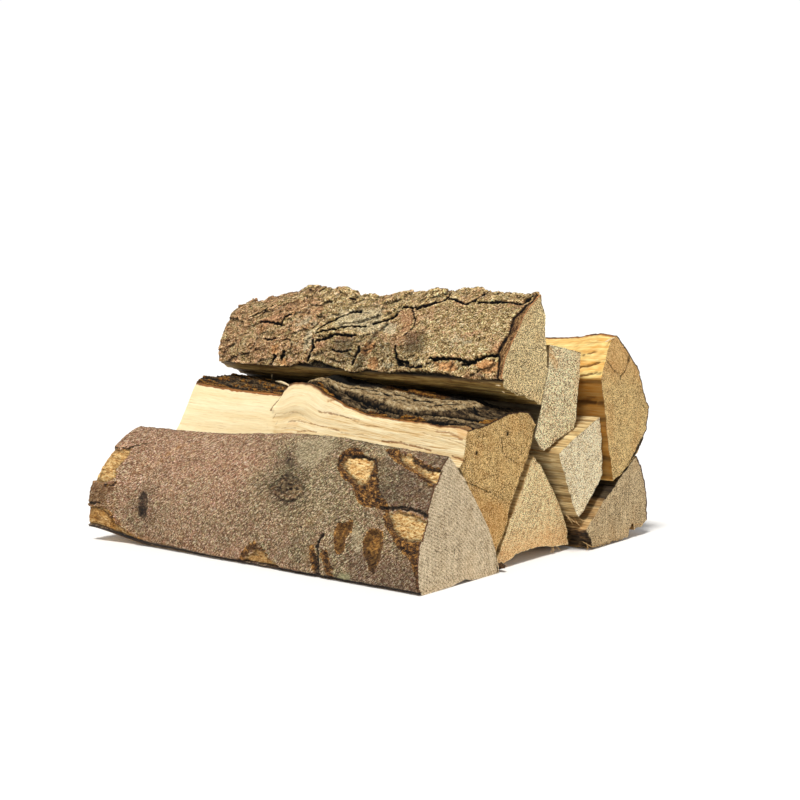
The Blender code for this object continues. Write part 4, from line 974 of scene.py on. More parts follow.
def more_torn(G, D, masks):
    """Painted shade in a ragged band at the foot of the left face and under the log above it, and a torn lower edge at
    the end.
    """
    X, W, T, K, Z = G["X"], G["W"], G["T"], G["K"], G["Z"]
    foot = step(20, 14, Z + 3.0 * fbm(X / 5, W / 5, 3, 0.6, 192))
    left = (K == 3) | (K == 4)
    lit = step(-0.1, 0.45, fbm(X / 9, W / 1.5, 3, 0.65, 195))
    under = step(35.5, 40.5, Z + 1.5 * fbm(X / 7, W / 3, 2, 0.6, 196))
    # painted shade: the ragged foot, lighter where lit fibres show, and the upper part under the log above
    masks["shadow"] = np.where(left, np.maximum((0.90 - 0.42 * lit) * foot, 0.90 * under), np.where(K == 3, 0.1, 0))
    D = np.where(left, D - 2.0 * foot + foot * 2.0 * fbm(X / 5, W / 2.0, 3, 0.65, 193), D)
    masks["dark"] = np.where(left, np.maximum(masks["dark"], 0.5 * foot * (1 - lit)), masks["dark"])
    masks["rust"] = np.where(left, 0.5 * foot, masks["rust"])
    ragged = step(-16, -2, X) * np.where(K == 0, 1.0, 0.0) * np.maximum(0, 1.6 + 3.2 * fbm(W / 3.6, X / 9, 3, 0.65, 194))
    D = D - ragged
    return D, masks


# -------------------------------------------------------- marks on sawn ends
def near_line(y, z, points, width):
    d, _ = line(y + 0.7 * fbm(y / 3, z / 3, 2, 0.5, 71), z + 0.7 * fbm(y / 3, z / 3 + 9, 2, 0.5, 72), points)
    return 1 - step(width * 0.4, width * 1.3, d)


def marks_front(x, y, z, right):
    dark = 0.6 * near_line(y, z, [(39, 29), (40.2, 24), (38, 18.5)], 0.9)
    dark = np.maximum(dark, 0.5 * near_line(y, z, [(45.7, 66), (54, 58.5), (63.6, 49.4)], 0.5))
    dark = np.maximum(dark, 0.4 * near_line(y, z, [(33, 48), (34, 46)], 1.0))
    nub = step(90, 92.5, y + 1.2 * fbm(y / 3, z / 3, 2, 0.6, 79)) * step(10.5, 8, z)
    dark = np.maximum(dark, nub * (0.45 + 0.5 * step(-0.2, 0.3, fbm(y / 3, z / 3, 3, 0.6, 80))))
    return dict(dark=np.where(right, dark, 0.4 * near_line(y, z, [(30, 20), (22, 60)], 0.6)), rust=np.where(right, np.maximum(0.3 * step(8, 1, z), nub), 0.2))


def marks_middle(x, y, z, right):
    d = 0.75 * near_line(y, z, [(60, 72), (75, 66.5), (82, 63), (92, 60), (109, 51.5)], 0.6)
    d = np.maximum(d, 0.75 * near_line(y, z, [(104, 100), (106, 90), (110, 85), (116, 82.5), (128, 77)], 0.5))
    d = np.maximum(d, 0.6 * near_line(y, z, [(130, 92), (131.5, 82.5)], 0.5))
    for a, b, r in ((73.6, 91.6, 2.0), (112.3, 102.3, 1.9), (127, 101, 0.9), (95, 72, 0.8), (116, 95, 0.8)):
        d = np.maximum(d, 0.85 * (1 - step(r * 0.4, r * 1.3, np.hypot(y - a, z - b))))
    below = step(6, -8, z - np.interp(y, [60, 75, 108], [70, 64, 48]))
    return dict(dark=np.where(right, d, 0.6 * near_line(y, z, [(110, 70), (120, 100)], 0.7)), rust=0.55 * below + 0.25 * step(0.0, 0.6, fbm(y / 14, z / 14, 3, 0.5, 73)))


def marks_top(x, y, z, right):
    d = 0.5 * near_line(y, z, [(120, 150), (134, 156)], 0.5)
    d = np.maximum(d, 0.7 * near_line(y, z, [(118, 133), (128, 130)], 0.8))
    return dict(dark=d, rust=0.35 * step(0.1, 0.6, fbm(y / 10, z / 10, 3, 0.5, 74)))


def marks_low(x, y, z, right):
    d = 0.6 * (1 - step(0.8, 2.0, np.hypot(y - 151, z - 41)))
    return dict(dark=d, rust=0.75 * step(34, 6, z + 5 * fbm(y / 16, z / 16, 3, 0.5, 75)))


def marks_upright(x, y, z, right):
    o = np.maximum(near_line(y, z, [(163.5, 168), (170, 158), (175, 151)], 4.0), 1 - step(2.5, 6.0, np.hypot((y - 167) * 1.3, (z - 159) * 0.8)))
    d = 0.7 * (1 - step(0.6, 1.6, np.hypot(y - 203, z - 125)))
    return dict(rust=np.where(right, 0.95 * o * step(-0.7, 0.2, fbm(y / 4, z / 4, 3, 0.6, 77)), 0.2), dark=np.where(right, d, 0))


def marks_round(x, y, z, right):
    d = 0.8 * near_line(y, z, [(227.7, 152), (238, 144.5), (249.4, 139), (249.5, 135.5)], 0.7)
    d = np.maximum(d, 0.8 * near_line(y, z, [(249.4, 139), (257, 143), (260.5, 150), (263.5, 154)], 0.6))
    d = np.maximum(d, 0.45 * near_line(y, z, [(246, 134), (231, 128), (223, 117)], 0.6))
    d = np.maximum(d, 0.5 * (1 - step(1.5, 3.5, np.hypot(y - 262, (z - 152.5) * 0.6))))
    d = np.maximum(d, 0.95 * near_line(y, z, [(297, 100), (293.5, 88), (283.5, 80.5), (275, 72), (265, 63.5), (250, 55.5), (240, 51)], 1.5 + 0.5 * fbm(y / 4, z / 4, 2, 0.5, 81)))
    return dict(dark=np.where(right, d, 0.4 * d), rust=0.6 * step(126, 152, z + 6 * fbm(y / 9, z / 9, 3, 0.5, 78)) + 0.25 * step(0.0, 0.6, fbm(y / 14, z / 14, 3, 0.5, 76)))


def marks_torn(x, y, z, right):
    return dict(dark=0.5 * step(6, 0, z), rust=0.3 * step(20, 2, z))


END_MARKS = {"front_log": marks_front, "middle_log": marks_middle, "top_log": marks_top, "low_log": marks_low,
             "upright_log": marks_upright, "round_log": marks_round, "torn_log": marks_torn}


# -------------------------------------------------------------- materials
def rgb(*c):
    """sRGB 0-255 to the linear colour that sockets hold."""
    c = np.array(c, float) / 255
    lin = np.where(c <= 0.04045, c / 12.92, ((c + 0.055) / 1.055) ** 2.4)
    return (float(lin[0]), float(lin[1]), float(lin[2]), 1.0)


class Nodes:
    def __init__(self, name, gain=(1, 1, 1), roughness=0.85, specular=0.25):
        self.gain = gain
        self.mat = bpy.data.materials.new(name)
        self.mat.use_nodes = True
        self.nt = self.mat.node_tree
        self.bsdf = self.nt.nodes["Principled BSDF"]
        self.bsdf.inputs["Roughness"].default_value = roughness
        self.bsdf.inputs["Specular IOR Level"].default_value = specular
        uv = self.nt.nodes.new("ShaderNodeUVMap")
        uv.uv_map = "GrainMM"
        self.grain = uv.outputs["UV"]
        self.at = self.nt.nodes.new("ShaderNodeTexCoord").outputs["Object"]

    def rgb(self, c):
        return tuple(min(0.97, a * k) for a, k in zip(rgb(*c)[:3], self.gain)) + (1.0,)

    def set(self, socket, value):
        if isinstance(value, bpy.types.NodeSocket):
            self.nt.links.new(value, socket)
        else:
            socket.default_value = value

    def attr(self, name):
        n = self.nt.nodes.new("ShaderNodeAttribute")
        n.attribute_name = name
        return n.outputs["Fac"]

    def math(self, op, a, b=0.0, c=0.0, clamp=False):
        n = self.nt.nodes.new("ShaderNodeMath")
        n.operation = op
        n.use_clamp = clamp
        for i, v in enumerate((a, b, c)):
            self.set(n.inputs[i], v)
        return n.outputs[0]

    def about(self, v, amount, centre=0.5):
        """amount * (v - centre)"""
        return self.math("MULTIPLY", self.math("SUBTRACT", v, centre), amount)

    def add(self, *values, clamp=False):
        out = values[0]
        for v in values[1:]:
            out = self.math("ADD", out, v, clamp=clamp and v is values[-1])
        return out

    def scaled(self, vec, sx, sy, sz=1.0, turn=0.0):
        """vec stretched; with turn, along an axis turned that many degrees from x to y."""
        n = self.nt.nodes.new("ShaderNodeMapping")
        if turn:
            n.vector_type = "TEXTURE"
            n.inputs["Scale"].default_value = (1 / sx, 1 / sy, 1 / sz)
            n.inputs["Rotation"].default_value = (0, 0, math.radians(turn))
        else:
            n.inputs["Scale"].default_value = (sx, sy, sz)
        self.set(n.inputs["Vector"], vec)
        return n.outputs[0]

    def tinted(self, colour, vec, size, amount):
        """colour with a faint hue of its own in every grain."""
        n = self.nt.nodes.new("ShaderNodeTexVoronoi")
        n.inputs["Scale"].default_value = 1.0 / size
        self.set(n.inputs["Vector"], vec)
        m = self.nt.nodes.new("ShaderNodeVectorMath")
        m.operation = "MULTIPLY_ADD"
        self.set(m.inputs[0], n.outputs["Color"])
        m.inputs[1].default_value = (amount, amount * 0.8, amount)
        m.inputs[2].default_value = (1 - amount / 2, 1 - amount * 0.4, 1 - amount / 2)
        k = self.nt.nodes.new("ShaderNodeVectorMath")
        k.operation = "MULTIPLY"
        self.set(k.inputs[0], colour)
        self.set(k.inputs[1], m.outputs[0])
        return k.outputs[0]

    def creases(self, vec, thin=0.03, detail=2.0):
        """Thin wandering lines, 1 along them."""
        a = self.math("ABSOLUTE", self.math("SUBTRACT", self.noise(vec, 1.0, detail, 0.5), 0.5))
        return self.between(a, thin, 0.0)

    def turned(self, vec, degrees):
        """vec turned about the x axis, for saw lines across an end."""
        n = self.nt.nodes.new("ShaderNodeMapping")
        n.inputs["Rotation"].default_value = (math.radians(degrees), 0, 0)
        self.set(n.inputs["Vector"], vec)
        return n.outputs[0]

    def warped(self, vec, scale, amount):
        """vec pushed about by noise, so that edges look torn."""
        n = self.nt.nodes.new("ShaderNodeTexNoise")
        n.inputs["Scale"].default_value = scale
        n.inputs["Detail"].default_value = 2.0
        self.set(n.inputs["Vector"], vec)
        m = self.nt.nodes.new("ShaderNodeVectorMath")
        m.operation = "MULTIPLY_ADD"
        self.set(m.inputs[0], n.outputs["Color"])
        m.inputs[1].default_value = (amount, amount, amount)
        self.set(m.inputs[2], vec)
        return m.outputs[0]

    def noise(self, vec, scale=1.0, detail=2.0, rough=0.5, distort=0.0):
        n = self.nt.nodes.new("ShaderNodeTexNoise")
        n.inputs["Scale"].default_value = scale
        n.inputs["Detail"].default_value = detail
        n.inputs["Roughness"].default_value = rough
        n.inputs["Distortion"].default_value = distort
        self.set(n.inputs["Vector"], vec)
        return n.outputs["Fac"]

    def grain_cells(self, vec, size):
        """A random value per small cell, 0 to 1: loose grains, pores, fibre ends."""
        n = self.nt.nodes.new("ShaderNodeTexVoronoi")
        n.inputs["Scale"].default_value = 1.0 / size
        self.set(n.inputs["Vector"], vec)
        m = self.nt.nodes.new("ShaderNodeSeparateColor")
        self.set(m.inputs[0], n.outputs["Color"])
        return m.outputs[0], n.outputs["Distance"]

    def grit(self, vec, size, soft=0.35):
        """Grains of about size mm, evenly spread over 0 to 1."""
        a, _ = self.grain_cells(vec, size)
        b = self.noise(vec, 0.75 / size, 1.0, 0.5)
        b = self.math("ADD", self.about(b, 2.6), 0.5, clamp=True)
        return self.add(self.math("MULTIPLY", a, 1 - soft), self.math("MULTIPLY", b, soft))

    def between(self, v, a, b):
        """0 at a, 1 at b, smooth."""
        n = self.nt.nodes.new("ShaderNodeMapRange")
        n.interpolation_type = "SMOOTHSTEP"
        n.inputs["From Min"].default_value = a
        n.inputs["From Max"].default_value = b
        self.set(n.inputs["Value"], v)
        return n.outputs[0]

    def ramp(self, fac, *stops):
        n = self.nt.nodes.new("ShaderNodeValToRGB")
        e = n.color_ramp.elements
        while len(e) < len(stops):
            e.new(0.5)
        for el, (p, c) in zip(e, stops):
            el.position, el.color = p, self.rgb(c)
        self.set(n.inputs["Fac"], fac)
        return n.outputs["Color"]

    def mix(self, fac, a, b, blend="MIX"):
        n = self.nt.nodes.new("ShaderNodeMix")
        n.data_type = "RGBA"
        n.blend_type = blend
        self.set(n.inputs[0], fac)
        self.set(n.inputs[6], self.rgb(a) if isinstance(a, tuple) and len(a) == 3 else a)
        self.set(n.inputs[7], self.rgb(b) if isinstance(b, tuple) and len(b) == 3 else b)
        return n.outputs[2]

    def shade(self, colour, amount):
        """colour times a number."""
        n = self.nt.nodes.new("ShaderNodeVectorMath")
        n.operation = "SCALE"
        self.set(n.inputs[0], colour)
        self.set(n.inputs[3], amount)
        return n.outputs[0]

    def weathered(self, colour, hollow=0.45, crest=0.25):
        """Painted shade in the hollows and painted highlight on the crests, from the shape itself, then the mask of
        darker tone and painted shade.
        """
        cav = self.attr("cav")
        k = self.math("SUBTRACT", 1.0, self.math("MULTIPLY", self.between(cav, 0.0, 1.0), hollow))
        k = self.math("ADD", k, self.math("MULTIPLY", self.between(cav, 0.0, -0.9), crest))
        k = self.math("MULTIPLY", k, self.math("SUBTRACT", 1.0, self.attr("shadow")))
        return self.shade(colour, k)

    def done(self, colour, height, depth, strength=0.7, rough=None):
        self.set(self.bsdf.inputs["Base Color"], colour)
        if rough is not None:
            self.set(self.bsdf.inputs["Roughness"], rough)
        n = self.nt.nodes.new("ShaderNodeBump")
        n.inputs["Strength"].default_value = strength
        n.inputs["Distance"].default_value = depth * MM
        self.set(n.inputs["Height"], height)
        self.set(self.bsdf.inputs["Normal"], n.outputs[0])
        return self.mat


def smooth_bark(name, gain=(1, 1, 1)):
    n = Nodes(name, gain, 0.8, 0.3)
    g = n.grain
    hatch = n.between(n.noise(g, 0.03, 2, 0.5), 0.42, 0.58)
    v = n.add(n.math("MULTIPLY", n.grit(n.scaled(g, 0.42, 1.5, 1, 38), 0.8, 0.3), n.add(0.35, n.math("MULTIPLY", hatch, 0.35))),
              n.math("MULTIPLY", n.grit(g, 0.72, 0.3), n.add(0.65, n.math("MULTIPLY", hatch, -0.35))))
    mid = n.noise(g, 0.17, 4, 0.65)
    big = n.noise(g, 0.04, 3, 0.6)
    brushed = n.noise(n.scaled(g, 0.10, 0.62, 1, 38), 1.0, 3, 0.65)
    streak = n.noise(n.scaled(g, 0.035, 0.16, 1, 38), 1.0, 3, 0.65)
    pink = n.ramp(v, (0.16, (58, 36, 25)), (0.38, (132, 92, 70)), (0.58, (180, 140, 110)), (0.84, (252, 230, 206)))
    grey = n.ramp(v, (0.16, (34, 27, 17)), (0.38, (98, 80, 57)), (0.58, (146, 125, 94)), (0.84, (238, 222, 188)))
    tone = n.add(n.attr("tone"), n.about(mid, 1.7), n.about(streak, 0.9), clamp=True)
    c = n.mix(tone, pink, grey)
    c = n.shade(c, n.add(0.16, n.math("MULTIPLY", big, 0.42), n.math("MULTIPLY", mid, 0.46), n.math("MULTIPLY", brushed, 0.75)))
    c = n.tinted(c, g, 1.1, 0.22)
    # thin creases, and short pale dashes
    c = n.mix(n.math("MULTIPLY", n.math("MULTIPLY", n.creases(n.scaled(g, 0.05, 0.22, 1, 38), 0.022), n.between(n.noise(g, 0.07, 2, 0.5), 0.48, 0.62)), 0.5), c, (58, 42, 28))
    c = n.mix(n.math("MULTIPLY", n.math("MULTIPLY", n.creases(n.scaled(g, 0.14, 0.05, 1, 20), 0.02), n.between(n.noise(g, 0.09, 2, 0.5), 0.52, 0.66)), 0.4), c, (58, 42, 28))
    frost = n.add(n.math("MULTIPLY", n.attr("light"), -1.0), n.about(n.noise(n.scaled(g, 0.28, 0.85, 1, 38), 1.0, 3, 0.7), 3.2), -0.10)
    c = n.mix(n.math("MULTIPLY", n.between(frost, 0.25, 0.95), 0.62), c, n.ramp(v, (0.08, (118, 104, 80)), (0.5, (186, 170, 138)), (0.9, (244, 232, 206))))
    rust = n.math("MULTIPLY", n.attr("rust"), n.between(n.noise(g, 0.45, 3, 0.7), 0.30, 0.56))
    c = n.mix(n.math("MULTIPLY", rust, 0.85, clamp=True), c, n.ramp(n.add(n.math("MULTIPLY", v, 0.6), n.math("MULTIPLY", mid, 0.4)), (0.2, (74, 40, 14)), (0.45, (142, 92, 44)), (0.8, (222, 168, 104))))
    c = n.mix(n.math("MULTIPLY", n.attr("light"), 0.8, clamp=True), c, n.ramp(v, (0.1, (104, 102, 68)), (0.9, (194, 190, 150))))
    # crumbly dark rims
    crumb = n.noise(n.scaled(g, 0.17, 0.30, 1, -20), 1.0, 5, 0.72)
    edge = n.add(n.attr("rim"), n.about(crumb, 1.8), n.about(v, 0.35))
    c = n.mix(n.between(edge, 0.40, 0.62), c, n.ramp(n.add(n.math("MULTIPLY", crumb, 0.74), n.math("MULTIPLY", v, 0.26)),
              (0.36, (22, 13, 6)), (0.455, (58, 36, 16)), (0.52, (112, 74, 34)), (0.58, (170, 120, 60)), (0.68, (234, 188, 118))))
    # bare wood where the bark came off
    fibre = n.noise(n.scaled(g, 0.28, 0.9), 0.9, 4, 0.7, 0.8)
    wood = n.ramp(n.add(n.math("MULTIPLY", fibre, 0.75), n.math("MULTIPLY", v, 0.25)),
                  (0.36, (108, 62, 20)), (0.44, (198, 142, 76)), (0.52, (242, 200, 134)), (0.62, (255, 238, 188)))
    edge = n.add(n.attr("bare"), n.about(n.noise(g, 0.35, 3, 0.7), 6.0))
    wood = n.mix(n.between(edge, 1.4, 0.0), wood, n.mix(0.6, wood, (140, 88, 38)))
    wood = n.mix(n.math("MULTIPLY", n.attr("rust"), 0.8, clamp=True), wood, n.ramp(n.add(n.math("MULTIPLY", fibre, 0.6), n.math("MULTIPLY", v, 0.4)), (0.34, (70, 40, 14)), (0.48, (146, 98, 42)), (0.64, (206, 154, 82))))
    c = n.mix(n.between(edge, -0.4, 0.5), c, wood)
    fringe = n.math("MULTIPLY", n.between(n.math("ABSOLUTE", n.add(edge, -0.4)), 1.3, 0.3), n.between(n.attr("rim"), 0.1, 0.5))
    c = n.mix(n.math("MULTIPLY", fringe, 0.6), c, (60, 36, 14))
    d = n.add(n.attr("dark"), n.about(crumb, 2.0), n.about(v, 0.5))
    c = n.mix(n.between(d, 0.3, 0.95), c, n.ramp(n.add(n.math("MULTIPLY", crumb, 0.5), n.math("MULTIPLY", v, 0.5)), (0.32, (18, 12, 7)), (0.52, (46, 33, 20)), (0.7, (112, 86, 56))))
    # painted shade in the hollows, painted highlight on the crests, and the darker tone and painted shade of its mask
    c = n.weathered(c, 0.55, 0.25)
    return n.done(c, n.add(v, n.math("MULTIPLY", mid, 1.2), n.math("MULTIPLY", brushed, 0.8)), 0.45, 0.8)


def furrowed_bark(name, gain=(1, 1, 1)):
    n = Nodes(name, gain, 0.88, 0.2)
    g = n.grain
    v = n.grit(n.scaled(g, 0.75, 1.2), 0.95)
    strand = n.noise(n.scaled(g, 0.09, 0.42, 1, -12), 1.0, 4, 0.7)
    mid = n.noise(g, 0.2, 4, 0.65)
    m = n.add(n.math("MULTIPLY", v, 0.5), n.about(strand, 1.5), n.about(mid, 1.0), 0.25)
    low = n.ramp(m, (0.12, (16, 11, 7)), (0.36, (64, 51, 36)), (0.6, (114, 97, 74)), (0.9, (178, 160, 130)))
    high = n.ramp(m, (0.10, (84, 68, 46)), (0.32, (166, 142, 108)), (0.55, (216, 196, 158)), (0.85, (252, 242, 216)))
    c = n.mix(n.between(n.attr("light"), 0.1, 0.8), low, high)
    rust = n.add(n.attr("rust"), n.about(mid, 1.6))
    orange = n.add(n.math("MULTIPLY", n.noise(n.scaled(g, 0.15, 0.8), 1, 3, 0.7), 0.7), n.math("MULTIPLY", v, 0.3))
    c = n.mix(n.between(rust, 0.35, 0.7), c, n.ramp(orange, (0.32, (70, 36, 10)), (0.45, (140, 90, 32)), (0.54, (196, 138, 58)), (0.66, (236, 192, 104))))
    c = n.mix(n.between(n.add(n.attr("bare"), n.about(mid, 1.0)), 0.35, 0.6), c, n.ramp(orange, (0.34, (206, 150, 96)), (0.5, (236, 190, 136)), (0.64, (250, 220, 170))))
    c = n.mix(n.between(n.add(n.attr("dark"), n.about(v, 0.3)), 0.2, 0.8), c, (9, 6, 3))
    # painted shade in the hollows, painted highlight on the crests, and the darker tone and painted shade of its mask
    c = n.weathered(c, 0.7, 0.35)
    return n.done(c, n.add(v, n.math("MULTIPLY", strand, 1.2)), 0.7, 0.9)


def flaky_bark(name, gain=(1, 1, 1)):
    n = Nodes(name, gain, 0.9, 0.2)
    g = n.grain
    v = n.grit(n.scaled(g, 0.85, 1.3, 1, 20), 0.8)
    flat = n.noise(n.scaled(g, 0.13, 0.40, 1, 20), 1.0, 4, 0.7)
    mid = n.noise(g, 0.20, 4, 0.7)
    m = n.add(n.math("MULTIPLY", v, 0.92), n.about(flat, 0.9), n.about(mid, 0.9), 0.04)
    tan = n.ramp(m, (0.1, (34, 24, 12)), (0.32, (94, 74, 46)), (0.52, (154, 130, 90)), (0.72, (196, 174, 132)), (0.95, (248, 236, 206)))
    brown = n.ramp(m, (0.1, (32, 20, 11)), (0.32, (90, 62, 40)), (0.52, (150, 114, 80)), (0.72, (190, 156, 120)), (0.95, (238, 216, 184)))
    tone = n.add(n.attr("tone"), n.about(mid, 1.4), clamp=True)
    c = n.mix(n.between(tone, 0.36, 0.78), tan, brown)
    c = n.tinted(c, g, 1.2, 0.18)
    frost = n.add(n.attr("light"), n.about(n.noise(g, 0.5, 3, 0.7), 2.4))
    c = n.mix(n.math("MULTIPLY", n.between(frost, 0.45, 1.0), 0.5), c, n.ramp(v, (0.15, (124, 114, 88)), (0.5, (190, 178, 148)), (0.9, (244, 238, 220))))
    c = n.mix(n.math("MULTIPLY", n.attr("rust"), 0.42), c, n.ramp(v, (0.1, (92, 52, 36)), (0.9, (204, 148, 112))))
    edge = n.add(n.attr("bare"), n.about(n.noise(g, 0.3, 4, 0.75), 5.0))
    c = n.mix(n.between(edge, -0.4, 0.8), c, n.ramp(n.add(n.math("MULTIPLY", v, 0.4), n.math("MULTIPLY", flat, 0.6)), (0.30, (96, 60, 34)), (0.44, (166, 118, 76)), (0.56, (204, 156, 108)), (0.72, (238, 198, 150))))
    layer = n.noise(n.scaled(g, 1.0, 0.14), 1, 3, 0.7)
    c = n.mix(n.between(n.add(n.attr("rim"), n.about(v, 0.3)), 0.35, 0.7), c, n.ramp(n.add(n.math("MULTIPLY", layer, 0.7), n.math("MULTIPLY", v, 0.3)), (0.34, (34, 20, 14)), (0.45, (82, 54, 36)), (0.55, (128, 96, 62)), (0.67, (190, 156, 110))))
    c = n.mix(n.between(n.add(n.attr("dark"), n.about(v, 0.35)), 0.2, 0.8), c, (15, 10, 6))
    # painted shade in the hollows, painted highlight on the crests, and the darker tone and painted shade of its mask
    c = n.weathered(c, 0.8, 0.30)
    return n.done(c, m, 0.7, 0.9)


def split_wood(name, pale, mid, deep, line_colour, lines=0.5, stain=(176, 118, 60), blotch=0.4, bark_band=2.2, depth=0.25,
               gain=(1, 1, 1), bark_in=(176, 108, 44), bark_out=(46, 30, 16), streaks=1.0, calm=False):
    """A face split along the grain."""
    n = Nodes(name, gain, 0.62, 0.3)
    g = n.grain
    fibre = n.noise(n.scaled(g, 0.016, 0.62), 1.0, 4, 0.75)
    thread = n.noise(n.scaled(g, 0.035, 1.0), 1.3, 3, 0.7)
    band = n.noise(n.scaled(g, 0.007, 0.12), 1.0, 2, 0.5)
    fine = n.grit(n.scaled(g, 0.09, 1.0), 0.9)
    v = n.add(0.5, n.about(fibre, 1.2 * streaks), n.about(band, 0.9), n.about(fine, 0.34 * streaks))
    if calm:                                            # smoother where tone is low
        v = n.add(0.62, n.math("MULTIPLY", n.about(v, 1.0, 0.62), n.add(0.35, n.math("MULTIPLY", n.attr("tone"), 0.65))))
    c = n.ramp(v, (0.12, tuple(int(x * 0.8) for x in deep)), (0.3, deep), (0.5, mid), (0.68, pale), (0.95, tuple(min(255, int(x * 1.03 + 5)) for x in pale)))
    c = n.mix(n.math("MULTIPLY", n.between(thread, 0.58, 0.70), lines), c, line_colour)
    c = n.mix(n.math("MULTIPLY", n.between(n.noise(n.scaled(g, 0.03, 0.10), 1.0, 4, 0.65), 0.50, 0.70), blotch), c, n.mix(0.5, c, stain))
    c = n.mix(n.math("MULTIPLY", n.attr("rust"), 0.8), c, n.mix(0.7, c, stain))
    c = n.mix(n.math("MULTIPLY", n.between(n.add(n.attr("dark"), n.about(thread, 2.4)), 0.15, 1.0), 0.8), c, line_colour)
    # the bark's cut edge and its orange inner layer, along the sides that carry bark
    cut = n.add(n.attr("cut"), n.about(n.noise(n.scaled(g, 0.2, 0.8), 0.5, 3, 0.7), bark_band * 1.8))
    c = n.mix(n.between(cut, bark_band + 1.2, bark_band), c, n.ramp(thread, (0.4, tuple(int(x * 0.6) for x in bark_in)), (0.6, bark_in)))
    c = n.mix(n.between(cut, bark_band * 0.62, bark_band * 0.34), c, n.ramp(fine, (0.2, bark_out), (0.9, tuple(int(x * 2.0) for x in bark_out))))
    c = n.mix(n.between(n.add(n.attr("rim"), n.about(thread, 1.4)), 0.35, 0.65), c, n.ramp(thread, (0.36, tuple(int(x * 0.7) for x in bark_in)), (0.6, tuple(int(x * 1.15) for x in bark_in))))
    # painted shade in the hollows, painted highlight on the crests, and the darker tone and painted shade of its mask
    c = n.weathered(c, 0.45, 0.12)
    return n.done(c, n.add(n.math("MULTIPLY", fibre, 1.5), fine), depth, 0.7)


def sawn_end(name, pale, mid, deep, size=1.0, contrast=1.0, saw=40, saw_amount=0.35, stain=(186, 126, 66), pith=(0, 0), ring=0.15,
             bark_t=1.6, bark_in=(120, 70, 34), bark_out=(38, 25, 18), depth=0.35, second=None, gain=(1, 1, 1), pores=0.25, mottle=1.0, arcs=None):
    """A sawn end: speckle of torn pores, saw lines, faint year rings."""
    n = Nodes(name, gain, 0.85, 0.2)
    at = n.scaled(n.at, 0.0, 1000.0, 1000.0)            # mm across the end
    v = n.grit(n.scaled(n.at, 0.0, 1000.0, 1450.0), size, 0.3)
    blot = n.noise(at, 0.20, 4, 0.65)
    wide = n.noise(at, 0.05, 3, 0.6)
    lines = 0.0
    for angle, amount, pitch in ((saw, saw_amount, 1.8),) + (((second, saw_amount, 1.7),) if second is not None else ()):
        t = n.turned(at, -angle)
        w = n.noise(n.scaled(t, 0.0, 1.0 / pitch, 0.03), 1.0, 1, 0.5)
        lines = n.add(lines, n.about(w, 1.6 * amount))
    if arcs is not None:
        sep = n.nt.nodes.new("ShaderNodeSeparateXYZ")
        n.set(sep.inputs[0], at)
        ay, az = n.math("SUBTRACT", sep.outputs[1], arcs[0] - CENTRE[1]), n.math("SUBTRACT", sep.outputs[2], arcs[1])
        r = n.math("SQRT", n.add(n.math("MULTIPLY", ay, ay), n.math("MULTIPLY", az, az)))
        r = n.add(r, n.math("MULTIPLY", n.noise(at, 0.08, 2, 0.5), 2.0))
        lines = n.add(lines, n.math("MULTIPLY", n.math("SINE", n.math("MULTIPLY", r, 2 * math.pi / arcs[2])), arcs[3]))
    k = n.add(0.5, n.about(v, 0.72 * contrast), n.about(blot, 0.62 * mottle), n.about(wide, 0.45), lines)
    c = n.ramp(k, (0.02, tuple(int(x * 0.50) for x in deep)), (0.22, deep), (0.5, mid), (0.75, pale), (1.0, tuple(min(255, int(x * 1.07 + 8)) for x in pale)))
    cell, dist = n.grain_cells(n.warped(at, 0.4, 1.5), size * 2.3)
    hole = n.math("MULTIPLY", n.between(cell, 0.80, 0.86), n.between(dist, 0.42, 0.22))
    c = n.mix(n.math("MULTIPLY", hole, pores), c, (int(deep[0] * 0.52), int(deep[1] * 0.42), int(deep[2] * 0.32)))
    sep = n.nt.nodes.new("ShaderNodeSeparateXYZ")
    n.set(sep.inputs[0], at)
    dy = n.math("SUBTRACT", sep.outputs[1], pith[0] - CENTRE[1])
    dz = n.math("SUBTRACT", sep.outputs[2], pith[1])
    r = n.math("SQRT", n.add(n.math("MULTIPLY", dy, dy), n.math("MULTIPLY", dz, dz)))
    r = n.add(r, n.math("MULTIPLY", n.noise(at, 0.05, 2, 0.5), 7.0))
    rings = n.math("SINE", n.math("MULTIPLY", r, 1.9))
    c = n.mix(n.math("MULTIPLY", n.between(rings, 0.3, 1.0), ring), c, n.mix(0.5, c, deep))
    c = n.mix(n.math("MULTIPLY", n.between(n.noise(at, 0.045, 4, 0.6), 0.48, 0.72), 0.45), c, n.mix(0.45, c, stain))
    c = n.mix(n.math("MULTIPLY", n.attr("rust"), 0.8), c, n.mix(0.55, c, stain))
    cut = n.add(n.attr("cut"), n.about(n.noise(at, 0.35, 4, 0.75), bark_t * 2.6))
    c = n.mix(n.between(cut, bark_t + 0.8, bark_t), c, n.ramp(v, (0.2, tuple(int(x * 0.55) for x in bark_in)), (0.8, bark_in)))
    c = n.mix(n.between(cut, bark_t * 0.75, bark_t * 0.45), c, n.ramp(v, (0.2, bark_out), (0.8, tuple(int(x * 2.2) for x in bark_out))))
    c = n.mix(n.between(n.add(n.attr("dark"), n.about(v, 0.6), n.about(n.noise(at, 0.6, 3, 0.7), 1.2)), 0.3, 0.7), c, tuple(int(x * 0.30) for x in deep))
    # painted shade in the hollows, painted highlight on the crests, and the darker tone and painted shade of its mask
    c = n.weathered(c, 0.5, 0.15)
    return n.done(c, n.add(v, lines), depth, 0.9)


# ------------------------------------------------------------------ the logs
BARK_A = smooth_bark("bark_smooth_beech", (0.82, 0.81, 0.74))
BARK_B = furrowed_bark("bark_furrowed", (0.43, 0.38, 0.30))
BARK_G = furrowed_bark("bark_fissured", (0.86, 0.76, 0.62))
BARK_C = flaky_bark("bark_flaky", (1.08, 1.05, 0.94))

